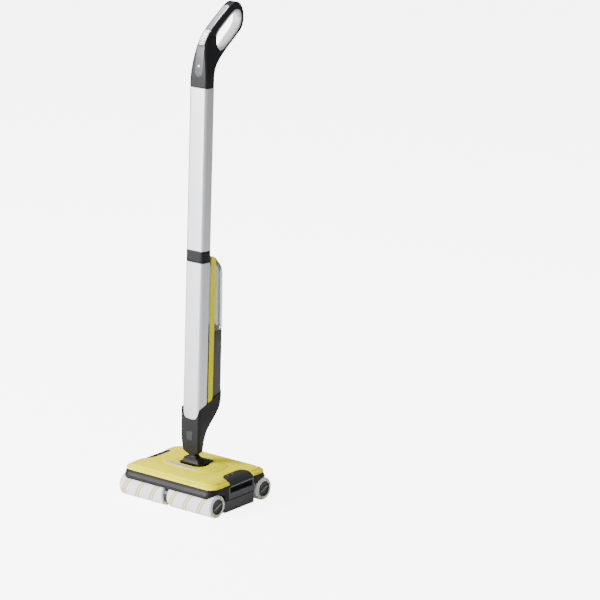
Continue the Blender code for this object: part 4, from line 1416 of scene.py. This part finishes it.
@dataclass
class Handle(Assembly):
    """The grip: a stem that runs into a closed loop, a light lining, the silver front and the control strip.

    The contours are points (y, z) in the stick's axes. Each row of wide and of thin is a height, and the
    stem's half width there in front and behind.
    """

    front: tuple[tuple[float, float], ...] = (
        (-0.0170, 0.9262), (-0.0168, 0.945), (-0.0163, 0.960), (-0.0145, 0.985), (-0.0122, 1.008),
        (-0.0080, 1.028), (0.0040, 1.049), (0.0240, 1.0690), (0.0540, 1.0925), (0.0810, 1.1120))
    crown: tuple[tuple[float, float], ...] = (
        (0.0930, 1.1196), (0.1070, 1.1232), (0.1210, 1.1180), (0.1312, 1.1045))
    rear: tuple[tuple[float, float], ...] = (
        (0.1355, 1.0890), (0.1350, 1.0730), (0.1292, 1.0575), (0.1120, 1.0420), (0.0890, 1.0240),
        (0.0660, 1.0060), (0.0480, 0.9930), (0.0300, 0.9770), (0.0205, 0.9620), (0.0172, 0.9450),
        (0.0170, 0.9262))
    hole: tuple[tuple[float, float], ...] = (
        (0.0335, 1.0330), (0.0385, 1.0535), (0.0620, 1.0740), (0.0905, 1.0950), (0.1070, 1.1015),
        (0.1190, 1.0960), (0.1235, 1.0800), (0.1150, 1.0600), (0.0880, 1.0355), (0.0600, 1.0125),
        (0.0430, 1.0130))
    wide: tuple[tuple[float, float], ...] = (
        (0.926, 0.0280), (0.945, 0.0280), (0.962, 0.0268), (0.985, 0.0238), (1.008, 0.0193), (1.030, 0.0152),
        (1.050, 0.0128))
    thin: tuple[tuple[float, float], ...] = (
        (0.926, 0.0280), (0.945, 0.0278), (0.962, 0.0264), (0.981, 0.0220), (1.000, 0.0172), (1.012, 0.0148),
        (1.030, 0.0124))
    loop_half: float = 0.0118
    voxel: float = 0.0006
    rounds: int = 36
    lining_out: float = 0.0012
    lining_half: float = 0.0028
    lining_proud: float = 0.0011
    strip_depth: float = 0.0030
    strips: tuple[Strip, ...] = (
        Strip("front_trim", Finishes.TRIM, "trim_silver", (0.608, 0.965), 0.0084, 0.0006, (0.25, 1.0), 80,
              nodes=("handle_trim",)),
        Strip("grip_pattern", Finishes.TRIM, "trim_silver", (0.430, 0.602), 0.0098, 0.0005, (0.1, 0.1), 160,
              0.0007),
        Strip("control_strip", Finishes.STRIP, "lining_grey", (0.118, 0.424), 0.0112, 0.0003, (1.0, 0.1), 90,
              nodes=("control_panel",)),
        Strip("strip_split", Finishes.BLACK, "body_dark", (0.338, 0.342), 0.0108, 0.0005, (0.1, 0.1), 24),
        Strip("strip_mark", Finishes.TRIM, "trim_silver", (0.205, 0.227), 0.0026, 0.0005, (1.0, 1.0), 40),
        Strip("strip_seat", Finishes.BLACK, "body_dark", (0.108, 0.427), 0.0128, 0.0002, (1.0, 0.1), 90))

    def stem(self) -> bpy.types.Object:
        """The stem's loft: plans between the front and back contours, wide in front and narrow behind.

        Returns:
            The new object.
        """
        front = curve_through(list(self.front), 8)
        rear = curve_through(list(self.rear)[::-1], 8)
        rings = []
        for z in np.linspace(0.9262, 1.046, 40):
            fore = float(np.interp(z, front[:, 1], front[:, 0]))
            aft = min(float(np.interp(z, rear[:, 1], rear[:, 0])), 0.100)
            wide, thin = (float(np.interp(z, *zip(*rows))) for rows in (self.wide, self.thin))
            rings.append(at_height(plan(fore, aft, wide, thin, 0.0075, min(0.009, 0.9 * thin), 10), z))
        return loft("stem", np.array(rings))

    def shell(self) -> bpy.types.Object:
        """Stem and loop as one soft-edged body, with the finger hole through it.

        Returns:
            The new object.
        """
        outline = curve_through(list(self.front[5:]) + list(self.crown) + list(self.rear[:7]), 6)
        loop = prism_across("loop", outline, -self.loop_half, self.loop_half, 0)
        hole = curve_through(list(self.hole), 8, closed=True)
        parts = [cut(part, [prism_across("finger_hole", hole, -0.05, 0.05, 0)])
                 for part in (self.stem(), loop)]
        return fused("handle_body", parts, self.voxel, self.rounds)

    def lining(self) -> bpy.types.Object:
        """The light ring that lines the finger hole: a superellipse section carried round it.

        Returns:
            The new object.
        """
        hole = even_steps(curve_through(list(self.hole), 10, closed=True), 220, closed=True)
        ahead = np.roll(hole, -1, axis=0) - np.roll(hole, 1, axis=0)
        ahead /= np.linalg.norm(ahead, axis=1, keepdims=True)
        out = np.column_stack([ahead[:, 1], -ahead[:, 0]])
        out *= np.sign(((hole - hole.mean(axis=0)) * out).sum(axis=1, keepdims=True))
        ring = superellipse(28, 5.0)
        path = np.column_stack([np.zeros(len(hole)), hole + self.lining_out * out])
        push = np.column_stack([np.zeros(len(hole)), out])
        points = path[:, None] + push[:, None] * (self.lining_half * ring[None, :, :1])
        points[:, :, 0] += (self.loop_half + self.lining_proud) * ring[:, 1]
        return skin("loop_lining", STICK.place(points), Wrap.BOTH)

    def strip(self, spec: Strip) -> bpy.types.Object:
        """A superellipse section carried along the front contour, and narrowed on an arc at each round end.

        Args:
            spec: the strip's sizes.

        Returns:
            The new object. A relief on its face is a sine along it times a cosine across it.
        """
        curve = even_steps(curve_through(list(self.front) + [self.crown[0]], 12), 800)
        ahead = np.gradient(curve, axis=0)
        ahead /= np.linalg.norm(ahead, axis=1, keepdims=True)
        reach = np.concatenate([[0], np.cumsum(np.linalg.norm(np.diff(curve, axis=0), axis=1))])
        s = np.linspace(*spec.span, spec.steps) * reach[-1]
        width = np.full(spec.steps, spec.half)
        for distance, roundness in zip((s - s[0], s[-1] - s), spec.ends):
            r = roundness * spec.half
            near = np.clip(distance / r, 0, 1)
            width = np.minimum(width, spec.half - r * (1 - np.sqrt(1 - (1 - near) ** 2)))
        width = np.maximum(width, 0.0002)
        spot = np.column_stack([np.interp(s, reach, curve[:, k]) for k in (0, 1)])
        way = np.column_stack([np.interp(s, reach, ahead[:, k]) for k in (0, 1)])
        outward = np.column_stack([np.zeros(spec.steps), -way[:, 1], way[:, 0]])
        half_depth = 0.5 * self.strip_depth
        path = np.column_stack([np.zeros(spec.steps), spot]) + outward * (spec.proud - half_depth)
        ring = superellipse(40, 7.0)
        points = path[:, None] + outward[:, None] * (half_depth * ring[None, :, 1:])
        points[:, :, 0] += width[:, None] * ring[:, 0]
        if spec.dimples:
            wave = np.sin(2 * np.pi * s / 0.0042)[:, None] * np.cos(2 * np.pi * points[:, :, 0] / 0.0048)
            points += outward[:, None] * (spec.dimples * wave * (ring[:, 1] > 0.9))[:, :, None]
        return skin(spec.name, STICK.place(points))

    def build(self) -> list[bpy.types.Object]:
        """Builds the handle and returns the new pieces."""
        shells = ("handle_shell_left", "handle_shell_right")
        self.keep(self.shell(), Finishes.HANDLE, "stick", "body_dark", *shells)
        self.keep(self.lining(), Finishes.GREY, "stick", "lining_grey", "handle_lining")
        for spec in self.strips:
            self.keep(self.strip(spec), spec.finish, "stick", spec.slot, *spec.nodes)
        return self.made


# The CAD parts that stay in view

CAD_FINISHES = {
    Finishes.GRAPHITE: ("dirty_tank_left", "dirty_tank_right", "base_plate", "back_cover"),
    Finishes.BLACK: ("gear_case_left", "gear_case_right"),
    Finishes.STEEL: ("tilt_pin", "drive_motor", "front_axle", "rear_axle", "motor_pinion"),
    Finishes.RUBBER: ("front_scraper", "rear_scraper", "supply_hose"),
    Finishes.NYLON: ("front_axle_gear", "rear_axle_gear", "idler_gear_1", "idler_gear_2", "idler_gear_3",
                     "idler_gear_4", "front_bush_left", "front_bush_right", "rear_bush_left",
                     "rear_bush_right"),
    Finishes.BOARD: ("control_board",), Finishes.CELL: ("battery_pack",),
    Finishes.TUBE: ("lower_tube", "upper_tube"), Finishes.TRIM: ("handle_trim", "cover_badge"),
    Finishes.GREY: ("handle_lining",), Finishes.STRIP: ("control_panel",), Finishes.TANK: ("fresh_tank",),
    Finishes.YELLOW: ("accent_frame",)}


def dress_cad() -> None:
    """Gives every CAD node a procedural finish: the dark one, unless it is listed with another."""
    finish_of = {name: finish for finish, names in CAD_FINISHES.items() for name in names}
    for name, node in frame["nodes"].items():
        finish_of.get(name, Finishes.DARK).on(node)


ASSEMBLIES = (Rollers, HeadCover, FloorJoint, Column, Handle)


# Studio


@dataclass(frozen=True)
class Lamp:
    """A square area light that faces the middle of the machine."""

    name: str
    place: tuple[float, float, float]
    size: float
    watts: float


@dataclass
class Studio:
    """The floor, the lights and the camera."""

    azimuth: float = 39.2
    elevation: float = 15.9
    distance: float = 8.0
    aim: tuple[float, float] = (0.335, 0.566)
    lens: float = 202.6
    air: float = 0.26
    floor_half: float = 12.0
    floor_glow: float = 6.0
    lamps: tuple[Lamp, ...] = (
        Lamp("key_light", (-2.2, -4.0, 2.0), 1.8, 620.0), Lamp("fill_light", (3.4, -0.6, 2.0), 1.6, 14.0),
        Lamp("top_light", (-0.6, 0.6, 4.0), 2.0, 110.0))

    def floor(self) -> None:
        """A wide pale floor just under the rollers."""
        half = self.floor_half
        mesh = bpy.data.meshes.new("studio_floor")
        corners = [(-half, -half, 0), (half, -half, 0), (half, half, 0), (-half, half, 0)]
        mesh.from_pydata(corners, [], [(0, 1, 2, 3)])
        made = bpy.data.objects.new("studio_floor", mesh)
        bpy.context.scene.collection.objects.link(made)
        mesh.materials.append(self.floor_finish())

    def floor_finish(self) -> bpy.types.Material:
        """A pale matt surface that glows for the camera alone, so that it lends the machine no light.

        Returns:
            The new material.
        """
        made = bpy.data.materials.new("studio_floor")
        made.use_nodes = True
        graph = Graph(made.node_tree)
        seen = graph.add("LightPath").outputs["Is Camera Ray"]
        shader = graph.add("BsdfPrincipled", Roughness=0.8, Base_Color=(0.92, 0.92, 0.92))
        graph.feed(shader, "Emission Color", (1.0, 1.0, 1.0))
        graph.feed(shader, "Emission Strength", graph.math("MULTIPLY", seen, self.floor_glow))
        graph.feed(graph.add("OutputMaterial"), "Surface", shader.outputs[0])
        return made

    def world(self) -> None:
        """An even white surrounding light."""
        world = bpy.data.worlds.new("studio_air")
        world.use_nodes = True
        background = world.node_tree.nodes["Background"]
        background.inputs[0].default_value = (1.0, 1.0, 1.0, 1.0)
        background.inputs[1].default_value = self.air
        bpy.context.scene.world = world

    def light(self, spec: Lamp) -> None:
        """Puts one lamp in the scene.

        Args:
            spec: its place, size and power.
        """
        light = bpy.data.lights.new(spec.name, "AREA")
        light.energy = spec.watts
        light.size = spec.size
        made = bpy.data.objects.new(spec.name, light)
        made.location = spec.place
        made.rotation_euler = (Vector((0.0, 0.0, 0.5)) - made.location).to_track_quat("-Z", "Y").to_euler()
        bpy.context.scene.collection.objects.link(made)

    def camera(self) -> None:
        """A long lens at the viewing angle, turned about the head's middle, with everything in focus."""
        az, el = math.radians(self.azimuth), math.radians(self.elevation)
        back = Vector((math.sin(az) * math.cos(el), -math.cos(az) * math.cos(el), math.sin(el)))
        view = bpy.data.cameras.new("studio_camera")
        view.lens = self.lens
        view.sensor_width = 36.0
        view.dof.use_dof = False
        view.clip_end = 100.0
        made = bpy.data.objects.new("studio_camera", view)
        made.location = Vector((self.aim[0], HEAD_MIDDLE_Y, self.aim[1])) + self.distance * back
        made.rotation_euler = back.to_track_quat("Z", "Y").to_euler()
        bpy.context.scene.collection.objects.link(made)
        bpy.context.scene.camera = made

    def build(self) -> None:
        """Sets up the whole studio."""
        self.floor()
        self.world()
        for spec in self.lamps:
            self.light(spec)
        self.camera()


def main() -> None:
    """Builds the sub-assemblies in order and reports each piece."""
    dress_cad()
    for assembly in ASSEMBLIES:
        maker = assembly()
        for piece in maker.build():
            LOG.info("%s: %s, %d faces", type(maker).__name__, piece.name, len(piece.data.polygons))
    Studio().build()


if __name__ == "__main__":
    main()
